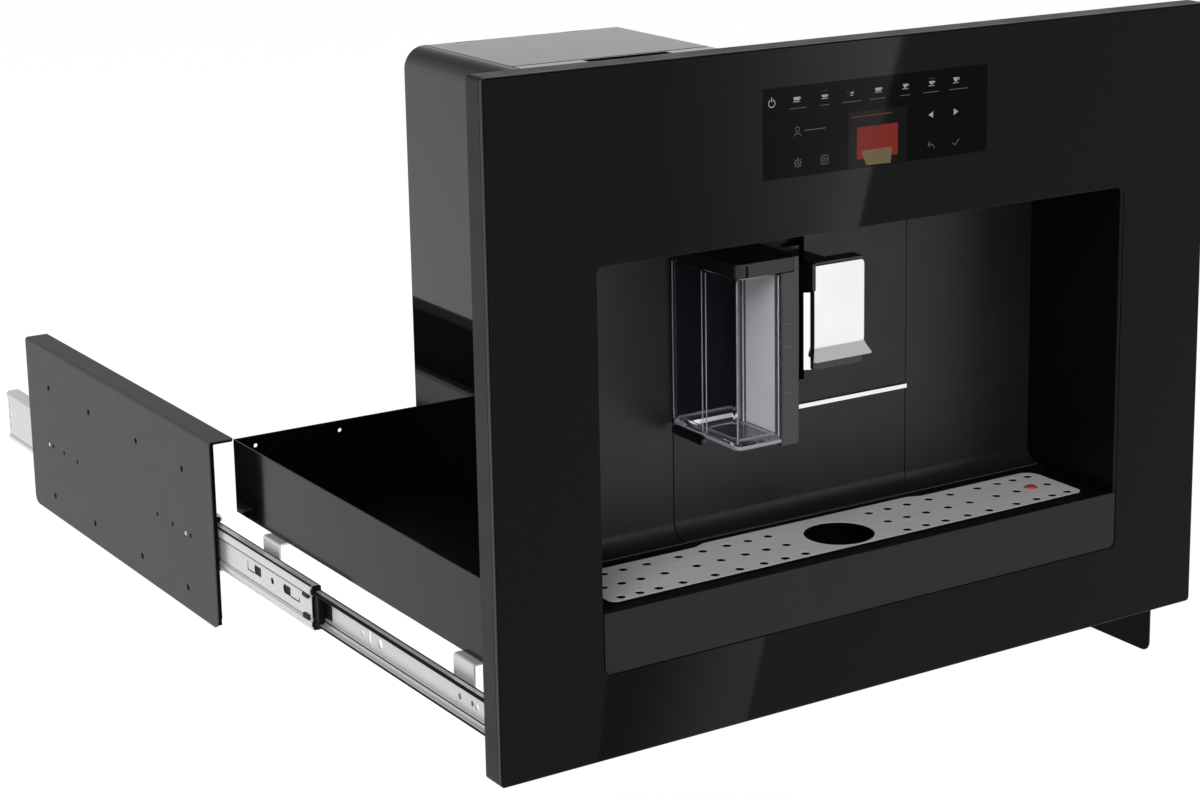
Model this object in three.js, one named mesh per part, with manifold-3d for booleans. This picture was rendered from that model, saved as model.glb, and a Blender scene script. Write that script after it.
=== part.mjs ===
// Built-in bean-to-cup coffee machine on telescopic slides, in millimetres, +Z up.
// X runs to the right as seen from the front, Y runs to the back, and the sizes below are
// measured from the bottom centre of the glass front. The exported group is then moved so that
// its origin lies on the back plane of the front panel, where it closes against the cabinet.

import * as THREE from 'three';
import { mergeVertices } from 'three/addons/utils/BufferGeometryUtils.js';
import Module from 'manifold-3d';

const wasm = await Module();
wasm.setup();

// ---------------------------------------------------------------- driving dimensions

// Clearances
const GAP = 0.3; // between pieces that are fixed to each other
const RUN = 0.5; // round a piece that slides or lifts out
const CUT = 1; // how far a cutting solid reaches past the face it opens

// Front panel
const PANEL_WIDTH = 595;
const PANEL_HEIGHT = 455;
const PANEL_CORNER = 3;
const GLASS_THICKNESS = 4;
const FRAME_DEPTH = 15.7;
const SEAT_HEIGHT = 20; // the origin's height above the panel's bottom edge

// Display in the upper band of the panel
const DISPLAY_WIDTH = 186;
const DISPLAY_HEIGHT = 60;
const DISPLAY_BOTTOM = 369;
const SCREEN_WIDTH = 64;
const SCREEN_THICKNESS = 3;
const BOARD_THICKNESS = 1.6;
const POCKET_WALL = 3; // left behind the display pocket

// Serving niche
const NICHE_WIDTH = 440;
const NICHE_HEIGHT = 271;
const NICHE_BOTTOM = 58;
const NICHE_DEPTH = 100; // from the glass face to the niche's back wall
const NICHE_CORNER = 5;
const LINER_WALL = 3;
const BACK_WALL = 3;
const SIDE_COVE = 22; // radius at the foot of the side back panels
const CENTRE_COVE = 18; // radius at the foot of the grounds container's front
const COVE_EDGE = 1.2; // thickness at the foot of a cove
const SERVICE_WIDTH = 202; // between the two seams of the back wall
const SERVICE_TOP = 177; // top of the grounds container's front
const TRIM_HEIGHT = 3;
const TRIM_PROUD = 2; // how far the trim stands out of the back wall

// Drip drawer and grille
const DRAWER_HEIGHT = 42;
const DRAWER_FRONT_THICKNESS = 4;
const GRILLE_DROP = 0.5; // grille below the drawer's top edge
const GRILLE_WIDTH = 406;
const GRILLE_FRONT = 17;
const GRILLE_SHEET = 1.5;
const GRILLE_CORNER = 12;
const BULGE_SLOPE = 14; // width over which the grille's rear edge steps back
const HOLE_RADIUS = 2.6;
const CUP_HOLE_RADIUS = 25;
const CUP_HOLE_BACK = 44; // its centre, behind the glass face
const HOLE_COLUMNS = [44, 61, 78.5, 98.5, 118.5, 144, 163, 178, 192.5]; // to either side
const HOLE_ROWS = [23, 45.5, 68]; // behind the glass face
const TRAY_WALL = 2.5;
const TRAY_FLANGE = 2.5;

// Drip level float
const FLOAT_X = 178;
const FLOAT_Y = 47;
const FLOAT_CAP_RADIUS = 4.6;
const FLOAT_CAP_TOP_RADIUS = 3.6;
const FLOAT_CAP_HEIGHT = 4;
const FLOAT_STEM_RADIUS = 2.5;
const FLOAT_DISC_RADIUS = 9;
const FLOAT_DISC_HEIGHT = 8;
const FLOAT_PROUD = 1; // cap above the grille

// Grounds container behind the lower centre panel
const BIN_WIDTH = 160;
const BIN_DEPTH = 120;
const BIN_HEIGHT = 66;
const BIN_WALL = 2.5;

// Coffee spout, which slides up and down in a slot of the centre panel
const SLOT_WIDTH = 20;
const SLOT_BOTTOM = 198;
const SPOUT_WIDTH = 43;
const SPOUT_FRONT = 44; // cover face behind the glass face
const SPOUT_TOP = 297;
const COVER_TOP = 294.5;
const COVER_BOTTOM = 238;
const COVER_SHEET = 1.7;
const LIP_DROP = 11; // flared lip below the cover
const LIP_REACH = 4; // and how far it comes forward
const LIP_BEND = 1.8; // and how far halfway down
const LIP_FLARE = 2.5; // and how far it spreads to each side
const HEAD_DEPTH = 12;
const HEAD_BLOCK_HEIGHT = 21;
const SLEEVE_DEPTH = 10;
const SLEEVE_WALL = 1.5;
const SLEEVE_BOTTOM = 222;
const NOZZLE_RADIUS = 3;
const NOZZLE_TIP_RADIUS = 2.4;
const NOZZLE_SPACING = 22;
const NOZZLE_BOTTOM = 224;
const ARM_HEIGHT = 30;
const ARM_TOP = 292;
const CARRIAGE_WIDTH = 40;
const CARRIAGE_DEPTH = 8;
const CARRIAGE_HEIGHT = 36;
const GUIDE_WALL = 2.5;
const GUIDE_BOTTOM = 190;
const GUIDE_TOP = 326;

// Milk carafe, docked on the niche's back wall
const CARAFE_LEFT = -103;
const CARAFE_WIDTH = 51;
const CARAFE_FRONT = 18;
const CARAFE_BOTTOM = 184;
const CARAFE_HEIGHT = 117;
const CARAFE_WALL = 2.2;
const CARAFE_BASE = 6;
const CARAFE_CORNER = 6;
const CARAFE_RIB = 58; // divider behind the glass face
const RIB_DEPTH = 6;
const COLUMN_WIDTH = 15;
const COLUMN_DEPTH = 42;
const COLUMN_DROP = 2.5; // column below the carafe
const COLUMN_CORNER = 2;
const CARAFE_LID_HEIGHT = 10;
const LID_PLUG = 5; // depth of the lid's plug inside the carafe
const FOOT_RADIUS = 4.5;
const FOOT_X = -104;
const FOOT_FRONT = 56;
const FOOT_BACK = 94;
const PORT_X = -80;
const PORT_RADIUS = 7;
const PORT_WALL = 2.5;
const PORT_FLANGE = 4;
const PORT_LENGTH = 16; // behind the centre panel
const PORT_SIDES = 6;
const PORT_DROP = 10; // port below the carafe's top

// Central housing
const HOUSING_WIDTH = 206;
const HOUSING_TOP = 400;
const HOUSING_BACK = 480;
const SHELL = 3;
const SHOULDER_LEFT = 18; // rounded long edge of the left shell
const SHOULDER_RIGHT = 12; // rounded long edge of the cover and lid
const LID_FRONT = 343; // seam between the top cover and the hopper lid
const RECESS_LEFT = -25;
const RECESS_WIDTH = 75;
const RECESS_LENGTH = 42;
const RECESS_DEPTH = 11;
const KNUCKLE_WIDTH = 16;
const KNUCKLE_PLACES = [-50, 50];
const KNUCKLE_ROOT = 6; // length of a knuckle's root on the rear cover
const PIN_RADIUS = 0.8;
const PIN_LENGTH = 3;
const BASE_PLATE = 4;
const SPINE_Y = 232;
const SPINE_SHEET = 3;
const SPINE_TOP = 380;

// Rear cover and power inlet
const VENT_COUNT = 8;
const VENT_WIDTH = 70;
const VENT_HEIGHT = 5;
const VENT_PITCH = 13;
const VENT_SPACING = 96; // between the middles of the two columns of slots
const VENT_BOTTOM = 230;
const INLET_X = 52;
const INLET_Z = 160;
const INLET_WIDTH = 48;
const INLET_HEIGHT = 28;
const INLET_DEPTH = 22;
const INLET_PROUD = 1.5;
const WELL_WIDTH = 24;
const WELL_HEIGHT = 16;
const WELL_DEPTH = 15;
const BLADE_WIDTH = 2;
const BLADE_PITCH = 7;

// Grinder and bean hopper
const GRINDER_Y = 408;
const MOTOR_RADIUS = 32;
const MOTOR_HEIGHT = 140;
const MOTOR_FLANGE = 6;
const CASE_RADIUS = 46;
const CASE_WALL = 4;
const CASE_HEIGHT = 42;
const SHAFT_RADIUS = 5;
const SHAFT_SEAT = 20; // length of the shaft inside the motor
const BURR_RADIUS = 24;
const BURR_HEIGHT = 28;
const BURR_TAPER = 7; // narrower at its top than at its foot
const GRIND_GAP = 2;
const RING_HEIGHT = 22;
const RING_RADIUS = 34;
const THROAT_RADIUS = 17;
const CHUTE_WIDTH = 18;
const CHUTE_HEIGHT = 12;
const HOPPER_WALL = 2.5;
const HOPPER_WIDTH = 150;
const HOPPER_LENGTH = 112;
const HOPPER_BOX_HEIGHT = 62;
const HOPPER_TOP = 388;
const NECK_MARGIN = 4; // hopper's neck outside the grinder's throat
const NECK_HEIGHT = 6;

// Brew unit, heater, pump and board
const BREW_WIDTH = 92;
const BREW_DEPTH = 86;
const BREW_HEIGHT = 190;
const BREW_CHEEK = 8;
const CHAMBER_RADIUS = 24;
const CHAMBER_WALL = 5;
const CHAMBER_HEIGHT = 64;
const WATER_PORT_RADIUS = 4;
const PISTON_LIFT = 42; // piston's yoke above the brew unit's floor at rest
const HEAD_INSIDE = 14; // piston's head inside the chamber at rest
const HEAD_THICKNESS = 12;
const ROD_RADIUS = 9;
const YOKE_HEIGHT = 10;
const HEATER_WIDTH = 70;
const HEATER_DEPTH = 38;
const HEATER_HEIGHT = 120;
const HEATER_CORNER = 6;
const HEATER_LEFT = -90;
const HEATER_BOTTOM = 200;
const PUMP_RADIUS = 18;
const PUMP_LENGTH = 92;
const PUMP_X = -50;
const PUMP_SETBACK = 12; // behind the niche's back wall
const PUMP_FOOT_WIDTH = 26;
const PUMP_FOOT_INSET = 10;
const OUTLET_RADIUS = 5;
const OUTLET_LENGTH = 14;
const POWER_BOARD_WIDTH = 68;
const POWER_BOARD_HEIGHT = 150;
const POWER_BOARD_LEFT = 24;
const POWER_BOARD_BOTTOM = 195;
const RELAY_RIGHT = 8; // relay from the board's left edge
const RELAY_UP = 12; // and from its bottom edge
const RELAY_WIDTH = 18;
const RELAY_HEIGHT = 26;
const COIL_RIGHT = 36; // filter coil from the board's left edge
const COIL_UP = 60; // and from its bottom edge
const COIL_WIDTH = 24;
const COIL_HEIGHT = 32;

// Water tank beside the housing
const TANK_LEFT = 112;
const TANK_WIDTH = 100;
const TANK_FRONT = 118;
const TANK_LENGTH = 270;
const TANK_HEIGHT = 262;
const TANK_WALL = 2.5;
const TANK_CORNER = 14;
const TANK_SEAT_HEIGHT = 10;
const SEAT_INSET = 6; // seat inside the tank's outline
const TANK_LID_HEIGHT = 6;
const TANK_PLUG = 4; // depth of the lid's plug inside the tank

// Carrier tray of folded sheet steel
const SIDE_ROOM = 22; // between the tray and the cabinet's side
const CARRIER_BACK = 487;
const CARRIER_BOTTOM = 47;
const CARRIER_HEIGHT = 59;
const CARRIER_SHEET = 1.5;
const CARRIER_HOLE_RADIUS = 3;
const CARRIER_HOLE_INSETS = [18, 90]; // from either side, in the rear wall
const CARRIER_HOLE_DROP = 8;

// Telescopic slides
const PANEL_OVERLAP = 17.5; // panel past the cabinet's inner side
const SLIDE_LENGTH = 450;
const SLIDE_HEIGHT = 45;
const SLIDE_DEPTH = 12.7;
const SLIDE_CENTRE = 20; // height of the slides' centre line
const SLIDE_SHEET = 1.5;
const MIDDLE_LENGTH = 400;
const MIDDLE_HEIGHT = 35;
const INNER_HEIGHT = 25;
const LEG_ROOM = 2; // middle rail's legs short of the slide's inner face
const INNER_FRONT = 20; // inner rail behind the panel's back
const MIDDLE_SETBACK = 52; // middle rail behind the inner rail's front, retracted
const SLIDE_TRAVEL = 460;
const BALL_RUN = 150; // length of a ball retainer
const BALL_MARGIN = 10; // retainer from the middle rail's end
const HANGER_WIDTH = 28;
const HANGER_REACH = 17; // hanger's tab under the tray's floor
const HANGER_FOOT = 4; // hanger's foot above the inner rail's lower edge
const HANGER_SHEET = 2;
const HANGER_PLACES = [94, 396]; // front edges behind the glass face

// Mounting plates that screw to the cabinet's sides
const PLATE_LENGTH = 400;
const PLATE_HEIGHT = 153;
const PLATE_TOP = 108;
const PLATE_SHEET = 2;
const PLATE_LIP = 20;
const PLATE_SETBACK = 3; // plate behind the panel's back, retracted
const RAIL_SETBACK = 15; // outer rail behind the plate's front
const PLATE_CORNER = 8;
const FIXING_RADIUS = 2.6;
const FIXING_COLUMNS = [57, 151, 255, 349]; // behind the plate's front
const FIXING_ROWS = [35.5, 134.5]; // below the plate's top
const RIVET_HOLE_RADIUS = 1.8;
const RIVET_HOLES = [46, 82, 113, 289, 320, 346];

// ---------------------------------------------------------------- derived sizes

const PANEL_BACK = GLASS_THICKNESS + GAP + FRAME_DEPTH;
const NICHE_TOP = NICHE_BOTTOM + NICHE_HEIGHT;
const LINER_HALF = NICHE_WIDTH / 2 - RUN;
const BACK_FACE = NICHE_DEPTH;
const BACK_REAR = NICHE_DEPTH + BACK_WALL;
const SEAM = SERVICE_WIDTH / 2;
const DRAWER_TOP = NICHE_BOTTOM + RUN + DRAWER_HEIGHT;
const GRILLE_TOP = DRAWER_TOP - GRILLE_DROP;
const TRAY_TOP = GRILLE_TOP - GRILLE_SHEET - GAP;
const TRAY_BOTTOM = NICHE_BOTTOM + RUN;
const GRILLE_BACK = NICHE_DEPTH - SIDE_COVE - GAP;
const GRILLE_BULGE = NICHE_DEPTH - CENTRE_COVE - GAP;
const HOUSING_HALF = HOUSING_WIDTH / 2;
const HOUSING_FRONT = BACK_REAR + GAP;
const INSIDE_HALF = HOUSING_HALF - SHELL;
const CARRIER_FLOOR = CARRIER_BOTTOM + CARRIER_SHEET;
const HOUSING_BOTTOM = CARRIER_FLOOR + GAP;
const BASE_TOP = HOUSING_BOTTOM + BASE_PLATE;
const INSIDE_BACK = HOUSING_BACK - SHELL;
const PLATE_OUTER = PANEL_WIDTH / 2 - PANEL_OVERLAP;
const CARRIER_HALF = PLATE_OUTER - SIDE_ROOM;
const PLATE_INNER = PLATE_OUTER - PLATE_SHEET;
const SLIDE_OUTER = PLATE_INNER - GAP;
const SLIDE_INNER = SLIDE_OUTER - SLIDE_DEPTH;
const SLIDE_FRONT = PANEL_BACK + INNER_FRONT;

// ---------------------------------------------------------------- solids

const vector = (x, y, z) => new THREE.Vector3(x, y, z);

// Where an outline's two directions and its extrusion point, for a prism along each axis.
const PRISM_BASES = {
  x: [vector(0, 1, 0), vector(0, 0, 1), vector(1, 0, 0)],
  y: [vector(1, 0, 0), vector(0, 0, 1), vector(0, -1, 0)],
  z: [vector(1, 0, 0), vector(0, 1, 0), vector(0, 0, 1)],
};

function toSolid(geometry) {
  geometry.deleteAttribute('normal');
  geometry.deleteAttribute('uv');
  const merged = mergeVertices(geometry, 1e-4);
  return new wasm.Manifold(new wasm.Mesh({
    numProp: 3,
    vertProperties: new Float32Array(merged.attributes.position.array),
    triVerts: new Uint32Array(merged.index.array),
  }));
}

// A block between low and high values along each axis.
function block([x0, x1], [y0, y1], [z0, z1]) {
  const geometry = new THREE.BoxGeometry(x1 - x0, y1 - y0, z1 - z0);
  geometry.translate((x0 + x1) / 2, (y0 + y1) / 2, (z0 + z1) / 2);
  return toSolid(geometry);
}

// An outline extruded along an axis. Outlines are (y, z) for x, (x, z) for y and (x, y) for z.
function prism(outline, axis, [low, high], segments = 4) {
  const geometry = new THREE.ExtrudeGeometry(outline, {
    depth: high - low,
    bevelEnabled: false,
    curveSegments: segments,
  });
  geometry.applyMatrix4(new THREE.Matrix4().makeBasis(...PRISM_BASES[axis]));
  if (axis === 'x') geometry.translate(low, 0, 0);
  if (axis === 'y') geometry.translate(0, high, 0);
  if (axis === 'z') geometry.translate(0, 0, low);
  return toSolid(geometry);
}

function polygon(points) {
  return new THREE.Shape(points.map(([a, b]) => new THREE.Vector2(a, b)));
}

function roundedRect([x0, x1], [y0, y1], radius) {
  const shape = new THREE.Shape();
  shape.moveTo(x0 + radius, y0);
  shape.lineTo(x1 - radius, y0);
  shape.absarc(x1 - radius, y0 + radius, radius, -Math.PI / 2, 0, false);
  shape.lineTo(x1, y1 - radius);
  shape.absarc(x1 - radius, y1 - radius, radius, 0, Math.PI / 2, false);
  shape.lineTo(x0 + radius, y1);
  shape.absarc(x0 + radius, y1 - radius, radius, Math.PI / 2, Math.PI, false);
  shape.lineTo(x0, y0 + radius);
  shape.absarc(x0 + radius, y0 + radius, radius, Math.PI, Math.PI * 1.5, false);
  return shape;
}

function disc(a, b, radius) {
  return new THREE.Shape().absarc(a, b, radius, 0, Math.PI * 2, false);
}

// A cone or cylinder standing on Z.
function cone(x, y, radiusLow, radiusHigh, [low, high], sides = 24) {
  const geometry = new THREE.CylinderGeometry(radiusHigh, radiusLow, high - low, sides);
  geometry.rotateX(Math.PI / 2);
  geometry.translate(x, y, (low + high) / 2);
  return toSolid(geometry);
}

const centred = (width, middle = 0) => [middle - width / 2, middle + width / 2];

const inset = ([low, high], by) => [low + by, high - by];

// The range from a to b on the left (side -1) or right (side 1), lowest value first.
const onSide = (side, a, b) => [side * a, side * b].sort((low, high) => low - high);

// ---------------------------------------------------------------- materials

const finish = (color, roughness, metalness = 0) =>
  new THREE.MeshStandardMaterial({ color, roughness, metalness });

const seeThrough = (color, opacity) =>
  new THREE.MeshStandardMaterial({ color, roughness: 0.08, transparent: true, opacity });

const MATERIALS = {
  glass: finish('#0b0b0c', 0.08),
  frame: finish('#3a3a3b', 0.45, 0.3),
  niche: finish('#222223', 0.5),
  gloss: finish('#0e0e10', 0.12),
  black: finish('#101011', 0.4),
  grey: finish('#3f4042', 0.4),
  painted: finish('#3c3c3d', 0.5, 0.4),
  zinc: finish('#b9babc', 0.35, 0.9),
  steel: finish('#8e8d92', 0.35, 0.9),
  chrome: finish('#e8e8ea', 0.08, 1),
  clear: seeThrough('#c8c8dc', 0.35),
  smoked: seeThrough('#8a9096', 0.5),
  red: finish('#b8201c', 0.4),
  board: finish('#1d4a2c', 0.6),
  screen: finish('#141519', 0.2),
  metal: finish('#9a9b9d', 0.45, 0.8),
  brass: finish('#b08d4a', 0.35, 0.9),
};

const machine = new THREE.Group();

function addPiece(name, solid, material) {
  const surface = solid.getMesh();
  const geometry = new THREE.BufferGeometry();
  geometry.setAttribute('position', new THREE.BufferAttribute(surface.vertProperties, 3));
  geometry.setIndex(new THREE.BufferAttribute(surface.triVerts, 1));
  geometry.computeVertexNormals();
  const mesh = new THREE.Mesh(geometry, material);
  mesh.name = name;
  machine.add(mesh);
}

// ---------------------------------------------------------------- front panel

function frontGlass() {
  const outline = roundedRect(centred(PANEL_WIDTH), [0, PANEL_HEIGHT], PANEL_CORNER);
  outline.holes.push(roundedRect(centred(NICHE_WIDTH), [NICHE_BOTTOM, NICHE_TOP], NICHE_CORNER));
  return prism(outline, 'y', [0, GLASS_THICKNESS]);
}

const POCKET_FRONT = GLASS_THICKNESS + GAP;
const POCKET_BACK = PANEL_BACK - POCKET_WALL;
const POCKET_X = centred(DISPLAY_WIDTH + 2);
const POCKET_Z = [DISPLAY_BOTTOM - 1, DISPLAY_BOTTOM + DISPLAY_HEIGHT + 1];

function panelFrame() {
  const outline = roundedRect(centred(PANEL_WIDTH), [0, PANEL_HEIGHT], PANEL_CORNER);
  const room = LINER_WALL + GAP - RUN;
  outline.holes.push(roundedRect(
    centred(NICHE_WIDTH + 2 * room),
    [NICHE_BOTTOM - LINER_WALL - GAP, NICHE_TOP + LINER_WALL + GAP],
    NICHE_CORNER,
  ));
  const pocket = block(POCKET_X, [POCKET_FRONT - 1, POCKET_BACK], POCKET_Z);
  return prism(outline, 'y', [GLASS_THICKNESS + GAP, PANEL_BACK]).subtract(pocket);
}

const SCREEN_BACK = POCKET_FRONT + SCREEN_THICKNESS;

addPiece('front_glass', frontGlass(), MATERIALS.glass);
addPiece('panel_frame', panelFrame(), MATERIALS.frame);
addPiece('display_screen', block(
  centred(SCREEN_WIDTH),
  [POCKET_FRONT, SCREEN_BACK],
  [DISPLAY_BOTTOM, DISPLAY_BOTTOM + DISPLAY_HEIGHT],
), MATERIALS.screen);
addPiece('control_board', block(
  centred(DISPLAY_WIDTH + 2 - 2 * GAP),
  [SCREEN_BACK + GAP, SCREEN_BACK + GAP + BOARD_THICKNESS],
  [POCKET_Z[0] + GAP, POCKET_Z[1] - GAP],
), MATERIALS.board);

// ---------------------------------------------------------------- serving niche

function nicheLiner() {
  const inside = [centred(2 * LINER_HALF), [NICHE_BOTTOM, NICHE_TOP]];
  const outline = roundedRect(
    centred(2 * (LINER_HALF + LINER_WALL)),
    [NICHE_BOTTOM - LINER_WALL, NICHE_TOP + LINER_WALL],
    NICHE_CORNER,
  );
  outline.holes.push(roundedRect(...inside, NICHE_CORNER - LINER_WALL));
  return prism(outline, 'y', [GLASS_THICKNESS + GAP, BACK_REAR]);
}

// The back wall's section, (y, z): straight down from the top, then curving forward at its foot,
// where it thins out.
function coveSection(top, radius, foot) {
  const shape = new THREE.Shape();
  const front = BACK_FACE - radius;
  const centre = foot + radius;
  const steps = 6;
  shape.moveTo(BACK_REAR, top);
  shape.lineTo(BACK_FACE, top);
  for (let i = 0; i <= steps; i += 1) {
    const angle = (i / steps) * (Math.PI / 2);
    shape.lineTo(front + radius * Math.cos(angle), centre - radius * Math.sin(angle));
  }
  for (let i = steps; i >= 0; i -= 1) {
    const angle = (i / steps) * (Math.PI / 2);
    const outer = radius + BACK_WALL - (BACK_WALL - COVE_EDGE) * Math.sin(angle);
    shape.lineTo(front + outer * Math.cos(angle), centre - outer * Math.sin(angle));
  }
  return shape;
}

function sideBackPanel(side) {
  const section = coveSection(NICHE_TOP - GAP, SIDE_COVE, GRILLE_TOP);
  const outline = roundedRect(
    centred(2 * (LINER_HALF - GAP)),
    [NICHE_BOTTOM + GAP, NICHE_TOP - GAP],
    NICHE_CORNER - LINER_WALL,
  );
  return prism(section, 'x', onSide(side, SEAM + GAP, LINER_HALF - GAP))
    .intersect(prism(outline, 'y', [0, BACK_REAR]));
}

const PORT_Z = CARAFE_BOTTOM + CARAFE_HEIGHT - PORT_DROP;
const TRIM_BOTTOM = SERVICE_TOP + GAP;
const CENTRE_BOTTOM = TRIM_BOTTOM + TRIM_HEIGHT + GAP;

function centrePanel() {
  const across = centred(SERVICE_WIDTH - 2 * GAP);
  const through = [BACK_FACE - CUT, BACK_REAR + CUT];
  const plate = block(across, [BACK_FACE, BACK_REAR], [CENTRE_BOTTOM, NICHE_TOP - GAP]);
  const slot = block(centred(SLOT_WIDTH), through, [SLOT_BOTTOM, NICHE_TOP]);
  const port = prism(disc(PORT_X, PORT_Z, PORT_RADIUS + RUN), 'y', through, PORT_SIDES);
  return plate.subtract(slot).subtract(port);
}

addPiece('niche_liner', nicheLiner(), MATERIALS.niche);
addPiece('back_panel_left', sideBackPanel(-1), MATERIALS.niche);
addPiece('back_panel_right', sideBackPanel(1), MATERIALS.niche);
addPiece('centre_panel', centrePanel(), MATERIALS.niche);
addPiece('trim_strip', block(
  centred(SERVICE_WIDTH - 2 * GAP),
  [BACK_FACE - TRIM_PROUD, BACK_REAR],
  [TRIM_BOTTOM, TRIM_BOTTOM + TRIM_HEIGHT],
), MATERIALS.chrome);

// ---------------------------------------------------------------- grounds container

// Its front is the lower centre of the niche's back wall, and slides out over the grille.
function groundsContainer() {
  const foot = GRILLE_TOP + RUN + COVE_EDGE;
  const section = coveSection(SERVICE_TOP, CENTRE_COVE, foot);
  const front = prism(section, 'x', centred(SERVICE_WIDTH - 2 * GAP));
  const bottom = foot + BIN_WALL;
  const rear = BACK_REAR + BIN_DEPTH;
  const outer = block(centred(BIN_WIDTH), [BACK_REAR - CUT, rear], [bottom, bottom + BIN_HEIGHT]);
  const inner = block(
    centred(BIN_WIDTH - 2 * BIN_WALL),
    [BACK_REAR + BIN_WALL, rear - BIN_WALL],
    [bottom + BIN_WALL, bottom + BIN_HEIGHT + CUT],
  );
  return front.add(outer).subtract(inner);
}

addPiece('grounds_container', groundsContainer(), MATERIALS.niche);

// ---------------------------------------------------------------- drip drawer

const TRAY_FRONT = DRAWER_FRONT_THICKNESS + GAP;

function drawerFront() {
  const half = NICHE_WIDTH / 2 - 2 * RUN;
  const top = DRAWER_TOP + NICHE_CORNER;
  const outline = roundedRect([-half, half], [NICHE_BOTTOM + RUN, top], NICHE_CORNER);
  const plate = prism(outline, 'y', [0, DRAWER_FRONT_THICKNESS]);
  const above = [DRAWER_TOP, top + CUT];
  return plate.subtract(block([-half - CUT, half + CUT], [-CUT, TRAY_FRONT], above));
}

const PAN_HALF = GRILLE_WIDTH / 2;

function dripTray() {
  const flangeHalf = NICHE_WIDTH / 2 - 4 * RUN;
  const pan = block([-PAN_HALF, PAN_HALF], [GRILLE_FRONT, GRILLE_BACK], [TRAY_BOTTOM, TRAY_TOP]);
  const flange = block(
    [-flangeHalf, flangeHalf],
    [TRAY_FRONT, GRILLE_BACK],
    [TRAY_TOP - TRAY_FLANGE, TRAY_TOP],
  );
  const basin = block(
    [-PAN_HALF + TRAY_WALL, PAN_HALF - TRAY_WALL],
    [GRILLE_FRONT + TRAY_WALL, GRILLE_BACK - TRAY_WALL],
    [TRAY_BOTTOM + TRAY_WALL, TRAY_TOP + CUT],
  );
  return pan.add(flange).subtract(basin);
}

// The grille's outline has rounded corners and reaches further back between the two seams.
function grilleOutline() {
  const shape = new THREE.Shape();
  shape.moveTo(-PAN_HALF + GRILLE_CORNER / 2, GRILLE_FRONT);
  shape.lineTo(PAN_HALF - GRILLE_CORNER / 2, GRILLE_FRONT);
  shape.quadraticCurveTo(PAN_HALF, GRILLE_FRONT, PAN_HALF, GRILLE_FRONT + GRILLE_CORNER / 2);
  shape.lineTo(PAN_HALF, GRILLE_BACK - GRILLE_CORNER);
  shape.quadraticCurveTo(PAN_HALF, GRILLE_BACK, PAN_HALF - GRILLE_CORNER, GRILLE_BACK);
  shape.lineTo(SEAM, GRILLE_BACK);
  shape.lineTo(SEAM - BULGE_SLOPE, GRILLE_BULGE);
  shape.lineTo(-SEAM + BULGE_SLOPE, GRILLE_BULGE);
  shape.lineTo(-SEAM, GRILLE_BACK);
  shape.lineTo(-PAN_HALF + GRILLE_CORNER, GRILLE_BACK);
  shape.quadraticCurveTo(-PAN_HALF, GRILLE_BACK, -PAN_HALF, GRILLE_BACK - GRILLE_CORNER);
  shape.lineTo(-PAN_HALF, GRILLE_FRONT + GRILLE_CORNER / 2);
  shape.quadraticCurveTo(-PAN_HALF, GRILLE_FRONT, -PAN_HALF + GRILLE_CORNER / 2, GRILLE_FRONT);
  return shape;
}

function cupGrille() {
  const through = [GRILLE_TOP - GRILLE_SHEET - CUT, GRILLE_TOP + CUT];
  let grille = prism(grilleOutline(), 'z', [GRILLE_TOP - GRILLE_SHEET, GRILLE_TOP], 4);
  const floatHole = FLOAT_CAP_RADIUS + RUN;
  const cutters = [cone(0, CUP_HOLE_BACK, CUP_HOLE_RADIUS, CUP_HOLE_RADIUS, through, 32)];
  cutters.push(cone(FLOAT_X, FLOAT_Y, floatHole, floatHole, through, 16));
  for (const column of HOLE_COLUMNS) {
    for (const row of HOLE_ROWS) {
      for (const x of [-column, column]) {
        const onFloat = Math.hypot(x - FLOAT_X, row - FLOAT_Y) < floatHole + 2 * HOLE_RADIUS;
        const onCupHole = Math.hypot(x, row - CUP_HOLE_BACK) < CUP_HOLE_RADIUS + 2 * HOLE_RADIUS;
        if (!onFloat && !onCupHole) cutters.push(cone(x, row, HOLE_RADIUS, HOLE_RADIUS, through, 8));
      }
    }
  }
  for (const cutter of cutters) grille = grille.subtract(cutter);
  return grille;
}

function floatIndicator() {
  const floor = TRAY_BOTTOM + TRAY_WALL + GAP;
  const part = (low, top, z) => cone(FLOAT_X, FLOAT_Y, low, top, z, 16);
  const body = part(FLOAT_DISC_RADIUS, FLOAT_DISC_RADIUS, [floor, floor + FLOAT_DISC_HEIGHT]);
  const stem = part(FLOAT_STEM_RADIUS, FLOAT_STEM_RADIUS, [floor, GRILLE_TOP]);
  const capTop = GRILLE_TOP + FLOAT_PROUD;
  const cap = part(FLOAT_CAP_RADIUS, FLOAT_CAP_TOP_RADIUS, [capTop - FLOAT_CAP_HEIGHT, capTop]);
  return body.add(stem).add(cap);
}

addPiece('drip_drawer_front', drawerFront(), MATERIALS.niche);
addPiece('drip_tray', dripTray(), MATERIALS.black);
addPiece('cup_grille', cupGrille(), MATERIALS.steel);
addPiece('float_indicator', floatIndicator(), MATERIALS.red);

// ---------------------------------------------------------------- coffee spout

const HEAD_FRONT = SPOUT_FRONT + COVER_SHEET + GAP;
const HEAD_BACK = HEAD_FRONT + HEAD_DEPTH;
const SLEEVE_Y = [HEAD_FRONT, HEAD_FRONT + SLEEVE_DEPTH];
const BLOCK_BOTTOM = SPOUT_TOP - HEAD_BLOCK_HEIGHT;

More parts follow.
